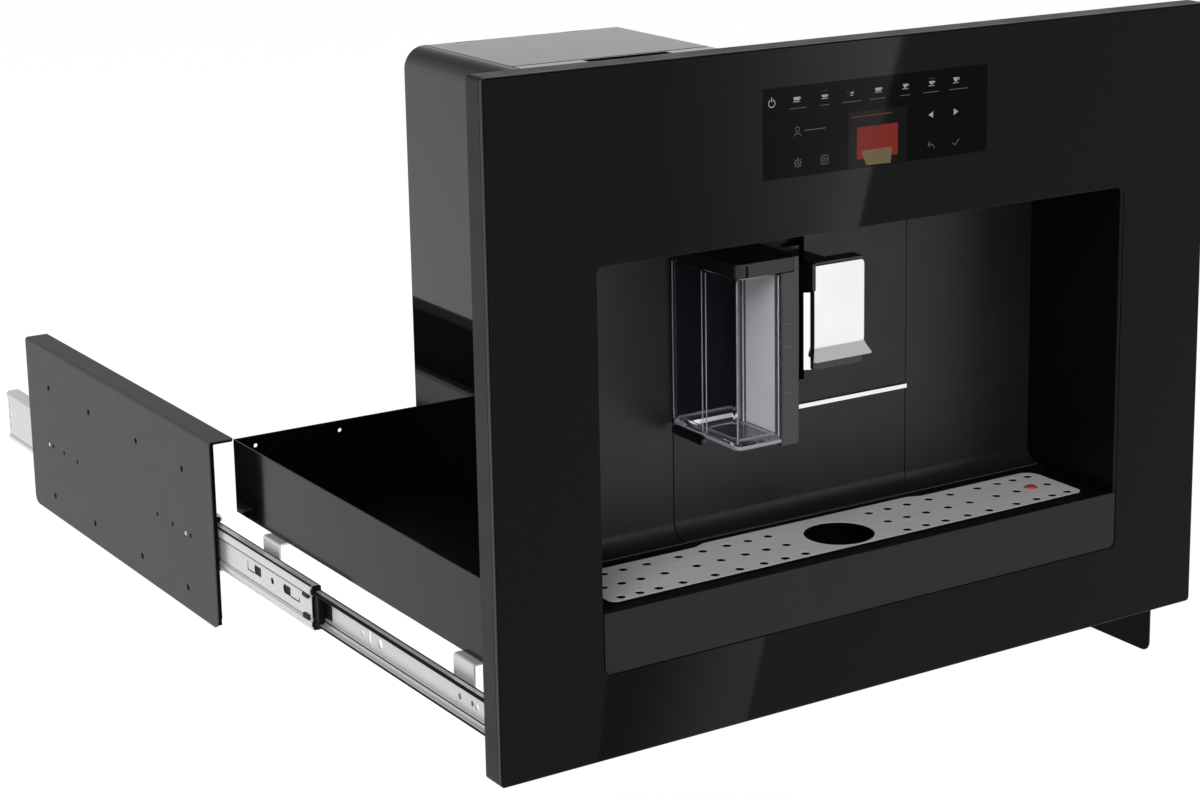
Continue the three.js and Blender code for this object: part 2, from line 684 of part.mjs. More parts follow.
function spoutCover() {
  const half = SPOUT_WIDTH / 2;
  const rear = SPOUT_FRONT + COVER_SHEET;
  const plate = block([-half, half], [SPOUT_FRONT, rear], [COVER_BOTTOM, COVER_TOP]);
  const bend = COVER_BOTTOM - LIP_DROP / 2;
  const lipSide = polygon([
    [SPOUT_FRONT, COVER_BOTTOM],
    [rear, COVER_BOTTOM],
    [rear - LIP_BEND, bend],
    [rear - LIP_REACH, COVER_BOTTOM - LIP_DROP],
    [SPOUT_FRONT - LIP_REACH, COVER_BOTTOM - LIP_DROP],
    [SPOUT_FRONT - LIP_BEND, bend],
  ]);
  const lipFace = polygon([
    [-half, COVER_BOTTOM],
    [-half - LIP_FLARE, COVER_BOTTOM - LIP_DROP],
    [half + LIP_FLARE, COVER_BOTTOM - LIP_DROP],
    [half, COVER_BOTTOM],
  ]);
  const lip = prism(lipSide, 'x', [-half - LIP_FLARE, half + LIP_FLARE])
    .intersect(prism(lipFace, 'y', [0, BACK_FACE]));
  return plate.add(lip);
}

// The block at the top with the two nozzles that hang from it inside the sleeve.
function spoutHead() {
  const half = SPOUT_WIDTH / 2;
  const room = SLEEVE_WALL + RUN;
  const cap = block([-half, half], [HEAD_FRONT, HEAD_BACK], [BLOCK_BOTTOM, SPOUT_TOP]);
  const coreZ = [COVER_BOTTOM, BLOCK_BOTTOM + CUT];
  const core = block(inset([-half, half], room), inset(SLEEVE_Y, room), coreZ);
  let head = cap.add(core);
  for (const x of centred(NOZZLE_SPACING)) {
    const y = HEAD_FRONT + SLEEVE_DEPTH / 2;
    const z = [NOZZLE_BOTTOM, COVER_BOTTOM + CUT];
    head = head.add(cone(x, y, NOZZLE_TIP_RADIUS, NOZZLE_RADIUS, z, 12));
  }
  return head;
}

function spoutSleeve() {
  const x = centred(SPOUT_WIDTH);
  const z = [SLEEVE_BOTTOM, BLOCK_BOTTOM - GAP];
  const inside = block(inset(x, SLEEVE_WALL), inset(SLEEVE_Y, SLEEVE_WALL), inset(z, -CUT));
  return block(x, SLEEVE_Y, z).subtract(inside);
}

const CARRIAGE_FRONT = BACK_REAR + RUN;

function spoutCarriage() {
  const arm = block(
    centred(SLOT_WIDTH - 4 * RUN),
    [HEAD_BACK + GAP, CARRIAGE_FRONT + CUT],
    [ARM_TOP - ARM_HEIGHT, ARM_TOP],
  );
  const middle = ARM_TOP - ARM_HEIGHT / 2;
  const slider = block(
    centred(CARRIAGE_WIDTH),
    [CARRIAGE_FRONT, CARRIAGE_FRONT + CARRIAGE_DEPTH],
    centred(CARRIAGE_HEIGHT, middle),
  );
  return arm.add(slider);
}

// A channel behind the centre panel, open to the front, in which the carriage runs.
function spoutGuide() {
  const half = CARRIAGE_WIDTH / 2 + RUN;
  const back = CARRIAGE_FRONT + CARRIAGE_DEPTH + RUN;
  const z = [GUIDE_BOTTOM, GUIDE_TOP];
  const x = [-half, half];
  const outer = block(inset(x, -GUIDE_WALL), [BACK_REAR + GAP, back + GUIDE_WALL], z);
  return outer.subtract(block(x, [BACK_REAR, back], inset(z, -CUT)));
}

addPiece('spout_cover', spoutCover(), MATERIALS.chrome);
addPiece('spout_head', spoutHead(), MATERIALS.black);
addPiece('spout_sleeve', spoutSleeve(), MATERIALS.chrome);
addPiece('spout_carriage', spoutCarriage(), MATERIALS.black);
addPiece('spout_guide', spoutGuide(), MATERIALS.metal);

// ---------------------------------------------------------------- milk carafe

const CARAFE_X = [CARAFE_LEFT, CARAFE_LEFT + CARAFE_WIDTH];
const CARAFE_Y = [CARAFE_FRONT, BACK_FACE - RUN];
const CARAFE_TOP = CARAFE_BOTTOM + CARAFE_HEIGHT;
const COLUMN_X = [CARAFE_X[1] - COLUMN_WIDTH, CARAFE_X[1]];
const COLUMN_Y = [CARAFE_FRONT, CARAFE_FRONT + COLUMN_DEPTH];

// A tall box with a corner left free for the column, and a divider inside its left wall.
function carafeBody() {
  const z = [CARAFE_BOTTOM, CARAFE_TOP];
  const corner = (room) => block(
    [COLUMN_X[0] - room, COLUMN_X[1] + CUT],
    [COLUMN_Y[0] - CUT, COLUMN_Y[1] + room],
    inset(z, -2 * CUT),
  );
  const outer = prism(roundedRect(CARAFE_X, CARAFE_Y, CARAFE_CORNER), 'z', z).subtract(corner(GAP));
  const innerX = inset(CARAFE_X, CARAFE_WALL);
  const innerY = inset(CARAFE_Y, CARAFE_WALL);
  const floor = CARAFE_BOTTOM + CARAFE_BASE;
  const room = roundedRect(innerX, innerY, CARAFE_CORNER - CARAFE_WALL);
  const inner = prism(room, 'z', [floor, CARAFE_TOP + CUT]).subtract(corner(GAP + CARAFE_WALL));
  const rib = block(
    [CARAFE_X[0] + CARAFE_WALL / 2, CARAFE_X[0] + CARAFE_WALL + RIB_DEPTH],
    centred(CARAFE_WALL, CARAFE_RIB),
    [floor - CUT, CARAFE_TOP - LID_PLUG - RUN],
  );
  return outer.subtract(inner).add(rib);
}

function carafeLid() {
  const bottom = CARAFE_TOP + GAP;
  const outline = roundedRect(CARAFE_X, CARAFE_Y, CARAFE_CORNER);
  const plate = prism(outline, 'z', [bottom, bottom + CARAFE_LID_HEIGHT]);
  const margin = CARAFE_WALL + RUN;
  const plug = block(
    [CARAFE_X[0] + margin, COLUMN_X[0] - GAP - margin],
    inset(CARAFE_Y, 2 * margin),
    [CARAFE_TOP - LID_PLUG, bottom + CUT],
  );
  return plate.add(plug);
}

function carafeColumn() {
  const outline = roundedRect(COLUMN_X, COLUMN_Y, COLUMN_CORNER);
  return prism(outline, 'z', [CARAFE_BOTTOM - COLUMN_DROP, CARAFE_TOP], 2);
}

// A round bar along the carafe's lower left edge, notched to take the edge.
function carafeFoot() {
  const y = [FOOT_FRONT, FOOT_BACK];
  const bar = prism(disc(FOOT_X, SERVICE_TOP + RUN + FOOT_RADIUS, FOOT_RADIUS), 'y', y, 8);
  const notch = block([CARAFE_X[0] - GAP, 0], inset(y, -CUT), [CARAFE_BOTTOM - GAP, CARAFE_TOP]);
  return bar.subtract(notch);
}

// The steam and milk socket that the carafe plugs on to, through the centre panel.
function milkPort() {
  const ring = (radius, y) => prism(disc(PORT_X, PORT_Z, radius), 'y', y, PORT_SIDES);
  const back = BACK_REAR + PORT_LENGTH;
  const tube = ring(PORT_RADIUS, [BACK_FACE, back]);
  const flange = ring(PORT_RADIUS + PORT_FLANGE, [BACK_REAR + GAP, BACK_REAR + GAP + PORT_FLANGE]);
  const bore = ring(PORT_RADIUS - PORT_WALL, [BACK_FACE - CUT, back + CUT]);
  return tube.add(flange).subtract(bore);
}

addPiece('carafe_body', carafeBody(), MATERIALS.clear);
addPiece('carafe_lid', carafeLid(), MATERIALS.black);
addPiece('carafe_column', carafeColumn(), MATERIALS.grey);
addPiece('carafe_foot', carafeFoot(), MATERIALS.black);
addPiece('milk_port', milkPort(), MATERIALS.metal);

// ---------------------------------------------------------------- central housing

// A quarter of a ring, as points from one end to the other, for the rounded long edges.
function arcPoints(cx, cz, radius, from, to, steps = 5) {
  const points = [];
  for (let i = 0; i <= steps; i += 1) {
    const angle = from + ((to - from) * i) / steps;
    points.push([cx + radius * Math.cos(angle), cz + radius * Math.sin(angle)]);
  }
  return points;
}

function leftShell() {
  const cx = -HOUSING_HALF + SHOULDER_LEFT;
  const cz = HOUSING_TOP - SHOULDER_LEFT;
  const outline = polygon([
    [-HOUSING_HALF, HOUSING_BOTTOM],
    ...arcPoints(cx, cz, SHOULDER_LEFT, Math.PI, Math.PI / 2),
    ...arcPoints(cx, cz, SHOULDER_LEFT - SHELL, Math.PI / 2, Math.PI),
    [-INSIDE_HALF, HOUSING_BOTTOM],
  ]);
  return prism(outline, 'y', [HOUSING_FRONT, HOUSING_BACK]);
}

const SHOULDER_FOOT = HOUSING_TOP - SHOULDER_RIGHT;

function rightShell() {
  const z = [HOUSING_BOTTOM, SHOULDER_FOOT - GAP];
  return block([INSIDE_HALF, HOUSING_HALF], [HOUSING_FRONT, HOUSING_BACK], z);
}

// The top's section, (x, z), with the rounded right edge, shared by the cover and the lid.
function topSection() {
  const cx = HOUSING_HALF - SHOULDER_RIGHT;
  return polygon([
    [-HOUSING_HALF + SHOULDER_LEFT + GAP, HOUSING_TOP - SHELL],
    [-HOUSING_HALF + SHOULDER_LEFT + GAP, HOUSING_TOP],
    ...arcPoints(cx, SHOULDER_FOOT, SHOULDER_RIGHT, Math.PI / 2, 0),
    ...arcPoints(cx, SHOULDER_FOOT, SHOULDER_RIGHT - SHELL, 0, Math.PI / 2),
  ]);
}

function topCover() {
  const y = [HOUSING_FRONT, LID_FRONT - GAP];
  const recessX = [RECESS_LEFT, RECESS_LEFT + RECESS_WIDTH];
  const recessY = [LID_FRONT - GAP - RECESS_LENGTH, LID_FRONT - GAP];
  const floor = HOUSING_TOP - RECESS_DEPTH;
  const cup = block(
    [recessX[0] - SHELL, recessX[1] + SHELL],
    [recessY[0] - SHELL, recessY[1]],
    [floor - SHELL, HOUSING_TOP - SHELL + CUT],
  );
  const hollow = block(recessX, [recessY[0], recessY[1] - SHELL], [floor, HOUSING_TOP + CUT]);
  return prism(topSection(), 'y', y).add(cup).subtract(hollow);
}

const LID_BACK = HOUSING_BACK - GAP;
const BARREL = SHELL / 2; // radius of the lid's rounded rear edge
const PIN_Y = LID_BACK - BARREL;
const PIN_Z = HOUSING_TOP - BARREL;

// A round bar along X on the hinge line.
function hingeBar(x, radius) {
  return prism(disc(PIN_Y, PIN_Z, radius), 'x', x, 4);
}

// The lid's rear edge is the hinge barrel, notched for the two knuckles of the rear cover.
function hopperLid() {
  let lid = prism(topSection(), 'y', [LID_FRONT, PIN_Y]);
  const left = -HOUSING_HALF + SHOULDER_LEFT + GAP;
  lid = lid.add(hingeBar([left, HOUSING_HALF - SHOULDER_RIGHT], BARREL));
  const roomY = [PIN_Y - BARREL - RUN, LID_BACK + CUT];
  const roomZ = inset([HOUSING_TOP - SHELL, HOUSING_TOP], -CUT);
  for (const x of KNUCKLE_PLACES) {
    const pinRoom = centred(KNUCKLE_WIDTH + 2 * PIN_LENGTH + 2 * RUN, x);
    lid = lid.subtract(block(centred(KNUCKLE_WIDTH + 2 * GAP, x), roomY, roomZ));
    lid = lid.subtract(hingeBar(pinRoom, PIN_RADIUS + GAP));
  }
  return lid;
}

const INLET_HOLE = 2 * GAP;

function rearCover() {
  const y = [INSIDE_BACK, HOUSING_BACK];
  const right = HOUSING_HALF - SHOULDER_RIGHT;
  const left = -HOUSING_HALF + SHOULDER_LEFT;
  const radiusLeft = SHOULDER_LEFT - SHELL - GAP;
  const radiusRight = SHOULDER_RIGHT - SHELL - GAP;
  let plate = prism(polygon([
    [-INSIDE_HALF + GAP, HOUSING_BOTTOM],
    [INSIDE_HALF - GAP, HOUSING_BOTTOM],
    ...arcPoints(right, SHOULDER_FOOT, radiusRight, 0, Math.PI / 2),
    ...arcPoints(left, HOUSING_TOP - SHOULDER_LEFT, radiusLeft, Math.PI / 2, Math.PI),
  ]), 'y', y);
  for (const x of KNUCKLE_PLACES) {
    const across = centred(KNUCKLE_WIDTH, x);
    const rise = [HOUSING_TOP - SHELL - KNUCKLE_ROOT, PIN_Z];
    plate = plate.add(block(across, [PIN_Y - BARREL, LID_BACK], rise));
    plate = plate.add(hingeBar(across, BARREL));
    plate = plate.add(hingeBar(centred(KNUCKLE_WIDTH + 2 * PIN_LENGTH, x), PIN_RADIUS));
  }
  const through = inset(y, -CUT);
  for (let i = 0; i < VENT_COUNT; i += 1) {
    const low = VENT_BOTTOM + i * VENT_PITCH;
    for (const x of centred(VENT_SPACING)) {
      plate = plate.subtract(block(centred(VENT_WIDTH, x), through, [low, low + VENT_HEIGHT]));
    }
  }
  return plate.subtract(block(
    centred(INLET_WIDTH + INLET_HOLE, INLET_X),
    through,
    centred(INLET_HEIGHT + INLET_HOLE, INLET_Z),
  ));
}

function powerInlet() {
  const back = HOUSING_BACK + INLET_PROUD;
  const face = (width, height, y) => block(centred(width, INLET_X), y, centred(height, INLET_Z));
  const body = face(INLET_WIDTH, INLET_HEIGHT, [back - INLET_DEPTH, back]);
  let inlet = body.subtract(face(WELL_WIDTH, WELL_HEIGHT, [back - WELL_DEPTH, back + CUT]));
  const bladeY = [back - WELL_DEPTH - CUT, back - INLET_PROUD];
  const bladeZ = centred(2 * BLADE_WIDTH, INLET_Z);
  for (const dx of [-BLADE_PITCH, 0, BLADE_PITCH]) {
    inlet = inlet.add(block(centred(BLADE_WIDTH, INLET_X + dx), bladeY, bladeZ));
  }
  return inlet;
}

const INSIDE_X = centred(2 * (INSIDE_HALF - GAP));

function basePlate() {
  return block(INSIDE_X, [HOUSING_FRONT, INSIDE_BACK - GAP], [HOUSING_BOTTOM, BASE_TOP]);
}

// Closes the housing's front above the niche.
function frontCover() {
  const x = [-INSIDE_HALF + SHOULDER_LEFT, INSIDE_HALF - SHOULDER_RIGHT];
  const z = [GUIDE_TOP + GAP, HOUSING_TOP - SHELL - GAP];
  return block(x, [HOUSING_FRONT, HOUSING_FRONT + SHELL], z);
}

// An upright plate across the housing that carries the heater, the board and the brew unit.
function spinePlate() {
  return block(INSIDE_X, [SPINE_Y, SPINE_Y + SPINE_SHEET], [BASE_TOP + GAP, SPINE_TOP]);
}

addPiece('housing_shell_left', leftShell(), MATERIALS.gloss);
addPiece('housing_shell_right', rightShell(), MATERIALS.gloss);
addPiece('front_cover', frontCover(), MATERIALS.painted);
addPiece('top_cover', topCover(), MATERIALS.gloss);
addPiece('hopper_lid', hopperLid(), MATERIALS.gloss);
addPiece('rear_cover', rearCover(), MATERIALS.painted);
addPiece('power_inlet', powerInlet(), MATERIALS.black);
addPiece('base_plate', basePlate(), MATERIALS.metal);
addPiece('spine_plate', spinePlate(), MATERIALS.metal);

// ---------------------------------------------------------------- grinder and hopper

const MOTOR_BOTTOM = BASE_TOP + GAP;
const FLANGE_TOP = MOTOR_BOTTOM + MOTOR_HEIGHT + MOTOR_FLANGE;
const CASE_BOTTOM = FLANGE_TOP + GAP;
const CASE_TOP = CASE_BOTTOM + CASE_HEIGHT;
const BURR_BOTTOM = CASE_BOTTOM + CASE_WALL + RUN;
const BURR_TOP = BURR_BOTTOM + BURR_HEIGHT;

// A cone or cylinder on the grinder's axis.
function onGrinder(radiusLow, radiusHigh, z, sides = 24) {
  return cone(0, GRINDER_Y, radiusLow, radiusHigh, z, sides);
}

function grinderMotor() {
  const can = onGrinder(MOTOR_RADIUS, MOTOR_RADIUS, [MOTOR_BOTTOM, MOTOR_BOTTOM + MOTOR_HEIGHT]);
  const flange = onGrinder(CASE_RADIUS, CASE_RADIUS, [FLANGE_TOP - MOTOR_FLANGE, FLANGE_TOP]);
  const room = SHAFT_RADIUS + GAP;
  const bore = onGrinder(room, room, [FLANGE_TOP - SHAFT_SEAT - GAP, FLANGE_TOP + CUT], 16);
  return can.add(flange).subtract(bore);
}

// The turning burr with its shaft.
function innerBurr() {
  const body = onGrinder(BURR_RADIUS, BURR_RADIUS - BURR_TAPER, [BURR_BOTTOM, BURR_TOP]);
  const shaftZ = [FLANGE_TOP - SHAFT_SEAT, BURR_BOTTOM + CUT];
  return body.add(onGrinder(SHAFT_RADIUS, SHAFT_RADIUS, shaftZ, 16));
}

// The fixed burr, a ring under the case's top.
function outerBurr() {
  const top = CASE_TOP - CASE_WALL - GAP;
  const low = top - RING_HEIGHT;
  const radiusAt = (z) => BURR_RADIUS - (BURR_TAPER * (z - BURR_BOTTOM)) / BURR_HEIGHT + GRIND_GAP;
  const bore = inset([low, top], -CUT);
  const ring = onGrinder(RING_RADIUS, RING_RADIUS, [low, top]);
  return ring.subtract(onGrinder(radiusAt(bore[0]), radiusAt(bore[1]), bore));
}

function grinderCase() {
  const outer = onGrinder(CASE_RADIUS, CASE_RADIUS, [CASE_BOTTOM, CASE_TOP]);
  const room = CASE_RADIUS - CASE_WALL;
  const floor = CASE_BOTTOM + CASE_WALL;
  const chamber = onGrinder(room, room, [floor, CASE_TOP - CASE_WALL]);
  const shaftRoom = SHAFT_RADIUS + RUN;
  const shaftHole = onGrinder(shaftRoom, shaftRoom, [CASE_BOTTOM - CUT, floor + CUT], 16);
  const throatZ = [CASE_TOP - CASE_WALL - CUT, CASE_TOP + CUT];
  const throat = onGrinder(THROAT_RADIUS, THROAT_RADIUS, throatZ);
  const chute = block(
    centred(CHUTE_WIDTH),
    [GRINDER_Y - CASE_RADIUS - CUT, GRINDER_Y - room + 2 * CUT],
    [floor, floor + CHUTE_HEIGHT],
  );
  return outer.subtract(chamber).subtract(shaftHole).subtract(throat).subtract(chute);
}

function beanHopper() {
  const shape = (shrink, lift) => {
    const boxBottom = HOPPER_TOP - HOPPER_BOX_HEIGHT;
    const box = block(
      inset(centred(HOPPER_WIDTH), shrink),
      inset(centred(HOPPER_LENGTH, GRINDER_Y), shrink),
      [boxBottom + lift, HOPPER_TOP + lift],
    );
    const narrow = THROAT_RADIUS + NECK_MARGIN - shrink;
    const wide = HOPPER_LENGTH / 2 - shrink;
    const low = CASE_TOP + GAP;
    const funnel = onGrinder(narrow, wide, [low + NECK_HEIGHT, boxBottom + lift + CUT]);
    const neck = onGrinder(narrow, narrow, [low - lift, low + NECK_HEIGHT + CUT]);
    return box.add(funnel).add(neck);
  };
  return shape(0, 0).subtract(shape(HOPPER_WALL, HOPPER_WALL));
}

addPiece('grinder_motor', grinderMotor(), MATERIALS.metal);
addPiece('inner_burr', innerBurr(), MATERIALS.steel);
addPiece('outer_burr', outerBurr(), MATERIALS.steel);
addPiece('grinder_case', grinderCase(), MATERIALS.black);
addPiece('bean_hopper', beanHopper(), MATERIALS.smoked);

// ---------------------------------------------------------------- brew unit and services

const BREW_FRONT = SPINE_Y + SPINE_SHEET + GAP;
const BREW_MIDDLE = BREW_FRONT + BREW_DEPTH / 2;
const BREW_BOTTOM = BASE_TOP + GAP;
const BREW_TOP = BREW_BOTTOM + BREW_HEIGHT;

// A frame open to the front and back, with the brewing chamber hanging under its bridge.
function brewFrame() {
  const y = [BREW_FRONT, BREW_FRONT + BREW_DEPTH];
  const z = [BREW_BOTTOM, BREW_TOP];
  const outer = block(centred(BREW_WIDTH), y, z);
  const window = block(
    centred(BREW_WIDTH - 2 * BREW_CHEEK),
    inset(y, -CUT),
    inset(z, BREW_CHEEK),
  );
  const radius = CHAMBER_RADIUS + CHAMBER_WALL;
  const low = BREW_TOP - CHAMBER_HEIGHT;
  const roof = BREW_TOP - BREW_CHEEK;
  const chamber = cone(0, BREW_MIDDLE, radius, radius, [low, BREW_TOP - CUT]);
  const bore = cone(0, BREW_MIDDLE, CHAMBER_RADIUS, CHAMBER_RADIUS, [low - CUT, roof]);
  const port = [roof - CUT, BREW_TOP + CUT];
  const inlet = cone(0, BREW_MIDDLE, WATER_PORT_RADIUS, WATER_PORT_RADIUS, port, 12);
  return outer.subtract(window).add(chamber).subtract(bore).subtract(inlet);
}

// Its head rides in the chamber and its yoke between the frame's cheeks.
function brewPiston() {
  const low = BREW_BOTTOM + BREW_CHEEK + PISTON_LIFT;
  const top = BREW_TOP - CHAMBER_HEIGHT + HEAD_INSIDE;
  const head = CHAMBER_RADIUS - GAP;
  const rod = cone(0, BREW_MIDDLE, ROD_RADIUS, ROD_RADIUS, [low, top], 16);
  const disc = cone(0, BREW_MIDDLE, head, head, [top - HEAD_THICKNESS, top]);
  const across = centred(BREW_WIDTH - 2 * BREW_CHEEK - 2 * RUN);
  const yoke = block(across, centred(2 * ROD_RADIUS, BREW_MIDDLE), [low, low + YOKE_HEIGHT]);
  return rod.add(disc).add(yoke);
}

function heater() {
  const z = [HEATER_BOTTOM, HEATER_BOTTOM + HEATER_HEIGHT];
  const y = [SPINE_Y - GAP - HEATER_DEPTH, SPINE_Y - GAP];
  return prism(roundedRect([HEATER_LEFT, HEATER_LEFT + HEATER_WIDTH], y, HEATER_CORNER), 'z', z);
}

function pump() {
  const z = BASE_TOP + GAP + PUMP_RADIUS;
  const front = BACK_REAR + PUMP_SETBACK;
  const y = [front, front + PUMP_LENGTH];
  const can = prism(disc(PUMP_X, z, PUMP_RADIUS), 'y', y, 10);
  const footX = centred(PUMP_FOOT_WIDTH, PUMP_X);
  const foot = block(footX, inset(y, PUMP_FOOT_INSET), [BASE_TOP + GAP, z]);
  const outlet = prism(disc(PUMP_X, z, OUTLET_RADIUS), 'y', [y[1] - CUT, y[1] + OUTLET_LENGTH], 6);
  return can.add(foot).add(outlet);
}

// A board with a relay and a filter coil on it, each as deep as it is wide.
const BOARD_PARTS = [
  { right: RELAY_RIGHT, up: RELAY_UP, width: RELAY_WIDTH, height: RELAY_HEIGHT },
  { right: COIL_RIGHT, up: COIL_UP, width: COIL_WIDTH, height: COIL_HEIGHT },
];

function powerBoard() {
  const back = SPINE_Y - GAP;
  const x = [POWER_BOARD_LEFT, POWER_BOARD_LEFT + POWER_BOARD_WIDTH];
  const z = [POWER_BOARD_BOTTOM, POWER_BOARD_BOTTOM + POWER_BOARD_HEIGHT];
  let board = block(x, [back - BOARD_THICKNESS, back], z);
  for (const part of BOARD_PARTS) {
    const left = x[0] + part.right;
    const low = z[0] + part.up;
    const partY = [back - part.width, back - BOARD_THICKNESS / 2];
    board = board.add(block([left, left + part.width], partY, [low, low + part.height]));
  }
  return board;
}

addPiece('brew_frame', brewFrame(), MATERIALS.black);
addPiece('brew_piston', brewPiston(), MATERIALS.brass);
addPiece('heater', heater(), MATERIALS.metal);
addPiece('water_pump', pump(), MATERIALS.black);
addPiece('power_board', powerBoard(), MATERIALS.board);

// ---------------------------------------------------------------- water tank

const TANK_X = [TANK_LEFT, TANK_LEFT + TANK_WIDTH];
const TANK_Y = [TANK_FRONT, TANK_FRONT + TANK_LENGTH];
const TANK_BOTTOM = CARRIER_FLOOR + GAP + TANK_SEAT_HEIGHT + GAP;
const TANK_TOP = TANK_BOTTOM + TANK_HEIGHT;

function tankSeat() {
  const outline = roundedRect(inset(TANK_X, SEAT_INSET), inset(TANK_Y, SEAT_INSET), TANK_CORNER);
  const bottom = CARRIER_FLOOR + GAP;
  return prism(outline, 'z', [bottom, bottom + TANK_SEAT_HEIGHT]);
}

function waterTank() {
  const outer = prism(roundedRect(TANK_X, TANK_Y, TANK_CORNER), 'z', [TANK_BOTTOM, TANK_TOP]);
  const inner = prism(
    roundedRect(inset(TANK_X, TANK_WALL), inset(TANK_Y, TANK_WALL), TANK_CORNER - TANK_WALL),
    'z',
    [TANK_BOTTOM + TANK_WALL, TANK_TOP + CUT],
  );
  return outer.subtract(inner);
}

function tankLid() {
  const bottom = TANK_TOP + GAP;
  const outline = roundedRect(TANK_X, TANK_Y, TANK_CORNER);
  const plate = prism(outline, 'z', [bottom, bottom + TANK_LID_HEIGHT]);
  const margin = TANK_WALL + RUN;
  const plug = roundedRect(inset(TANK_X, margin), inset(TANK_Y, margin), TANK_CORNER - margin);
  return plate.add(prism(plug, 'z', [TANK_TOP - TANK_PLUG, bottom + CUT]));
}

addPiece('tank_seat', tankSeat(), MATERIALS.black);
addPiece('water_tank', waterTank(), MATERIALS.smoked);
addPiece('tank_lid', tankLid(), MATERIALS.black);

// ---------------------------------------------------------------- carrier tray

function carrierTray() {
  const half = CARRIER_HALF;
  const top = CARRIER_BOTTOM + CARRIER_HEIGHT;
  const y = [PANEL_BACK + GAP, CARRIER_BACK];
  let tray = block([-half, half], y, [CARRIER_BOTTOM, top]);
  tray = tray.subtract(block(
    inset([-half, half], CARRIER_SHEET),
    inset(y, CARRIER_SHEET),
    [CARRIER_FLOOR, top + CUT],
  ));
  const linerHalf = LINER_HALF + LINER_WALL + GAP;
  tray = tray.subtract(block(
    [-linerHalf, linerHalf],
    [y[0] - CUT, y[0] + CARRIER_SHEET + CUT],
    [NICHE_BOTTOM - LINER_WALL - GAP, top + CUT],
  ));
  for (const holeInset of CARRIER_HOLE_INSETS) {
    for (const side of [-1, 1]) {
      const x = side * (half - holeInset);
      const hole = disc(x, top - CARRIER_HOLE_DROP, CARRIER_HOLE_RADIUS);
      const through = inset([CARRIER_BACK - CARRIER_SHEET, CARRIER_BACK], -CUT);
      tray = tray.subtract(prism(hole, 'y', through, 4));
    }
  }
  return tray;
}

addPiece('carrier_tray', carrierTray(), MATERIALS.painted);

// ---------------------------------------------------------------- slides and plates

// A channel lying along Y: its web stands between webX values, its legs reach to legX.
function channel(side, web, leg, height, y) {
  const half = height / 2;
  const towards = Math.sign(leg - web);
  const webInner = web + towards * SLIDE_SHEET;
  const outline = polygon([
    [side * web, SLIDE_CENTRE - half],
    [side * leg, SLIDE_CENTRE - half],
    [side * leg, SLIDE_CENTRE - half + SLIDE_SHEET],
    [side * webInner, SLIDE_CENTRE - half + SLIDE_SHEET],
    [side * webInner, SLIDE_CENTRE + half - SLIDE_SHEET],
    [side * leg, SLIDE_CENTRE + half - SLIDE_SHEET],
    [side * leg, SLIDE_CENTRE + half],
    [side * web, SLIDE_CENTRE + half],
  ]);
  return prism(outline, 'y', y);
}

const MIDDLE_WEB = SLIDE_OUTER - SLIDE_SHEET - RUN;
const MIDDLE_LEG = SLIDE_INNER + LEG_ROOM;

function outerRail(side, front) {
  const y = [front, front + SLIDE_LENGTH];
  return channel(side, SLIDE_OUTER, SLIDE_INNER + LEG_ROOM / 2, SLIDE_HEIGHT, y);
}

// The middle rail, with the ball retainers that run in the outer rail and round the inner one.
function middleRail(side, front) {
  let rail = channel(side, MIDDLE_WEB, MIDDLE_LEG, MIDDLE_HEIGHT, [front, front + MIDDLE_LENGTH]);
  const sink = SLIDE_SHEET / 3;
  const outward = [MIDDLE_HEIGHT / 2 - sink, SLIDE_HEIGHT / 2 - SLIDE_SHEET - GAP];
  const inward = [INNER_HEIGHT / 2 + GAP, MIDDLE_HEIGHT / 2 - SLIDE_SHEET + sink];
  const x = onSide(side, MIDDLE_LEG + 1, MIDDLE_WEB - SLIDE_SHEET - 1);
  const back = front + MIDDLE_LENGTH - BALL_MARGIN;
  const runs = [
    [outward, [back - BALL_RUN, back]],
    [inward, [front + BALL_MARGIN, front + BALL_MARGIN + BALL_RUN]],
  ];
  for (const [[low, high], y] of runs) {
    rail = rail.add(block(x, y, [SLIDE_CENTRE + low, SLIDE_CENTRE + high]));
    rail = rail.add(block(x, y, [SLIDE_CENTRE - high, SLIDE_CENTRE - low]));
  }
  return rail;
}

function innerRail(side) {
  const legs = MIDDLE_WEB - SLIDE_SHEET - 2 * RUN;
  return channel(side, SLIDE_INNER, legs, INNER_HEIGHT, [SLIDE_FRONT, SLIDE_FRONT + SLIDE_LENGTH]);
}

// A bent tab from under the tray's floor down to the inner rail's web.
function hanger(side, y0) {
  const face = SLIDE_INNER - GAP;
  const top = CARRIER_BOTTOM - GAP;
  const foot = SLIDE_CENTRE - INNER_HEIGHT / 2 + HANGER_FOOT;
  const reach = CARRIER_HALF - HANGER_REACH;
  const outline = polygon([
    [side * face, foot],
    [side * face, top],
    [side * reach, top],
    [side * reach, top - HANGER_SHEET],
    [side * (face - HANGER_SHEET), top - HANGER_SHEET],
    [side * (face - HANGER_SHEET), foot],
  ]);
  return prism(outline, 'y', [y0, y0 + HANGER_WIDTH]);
}

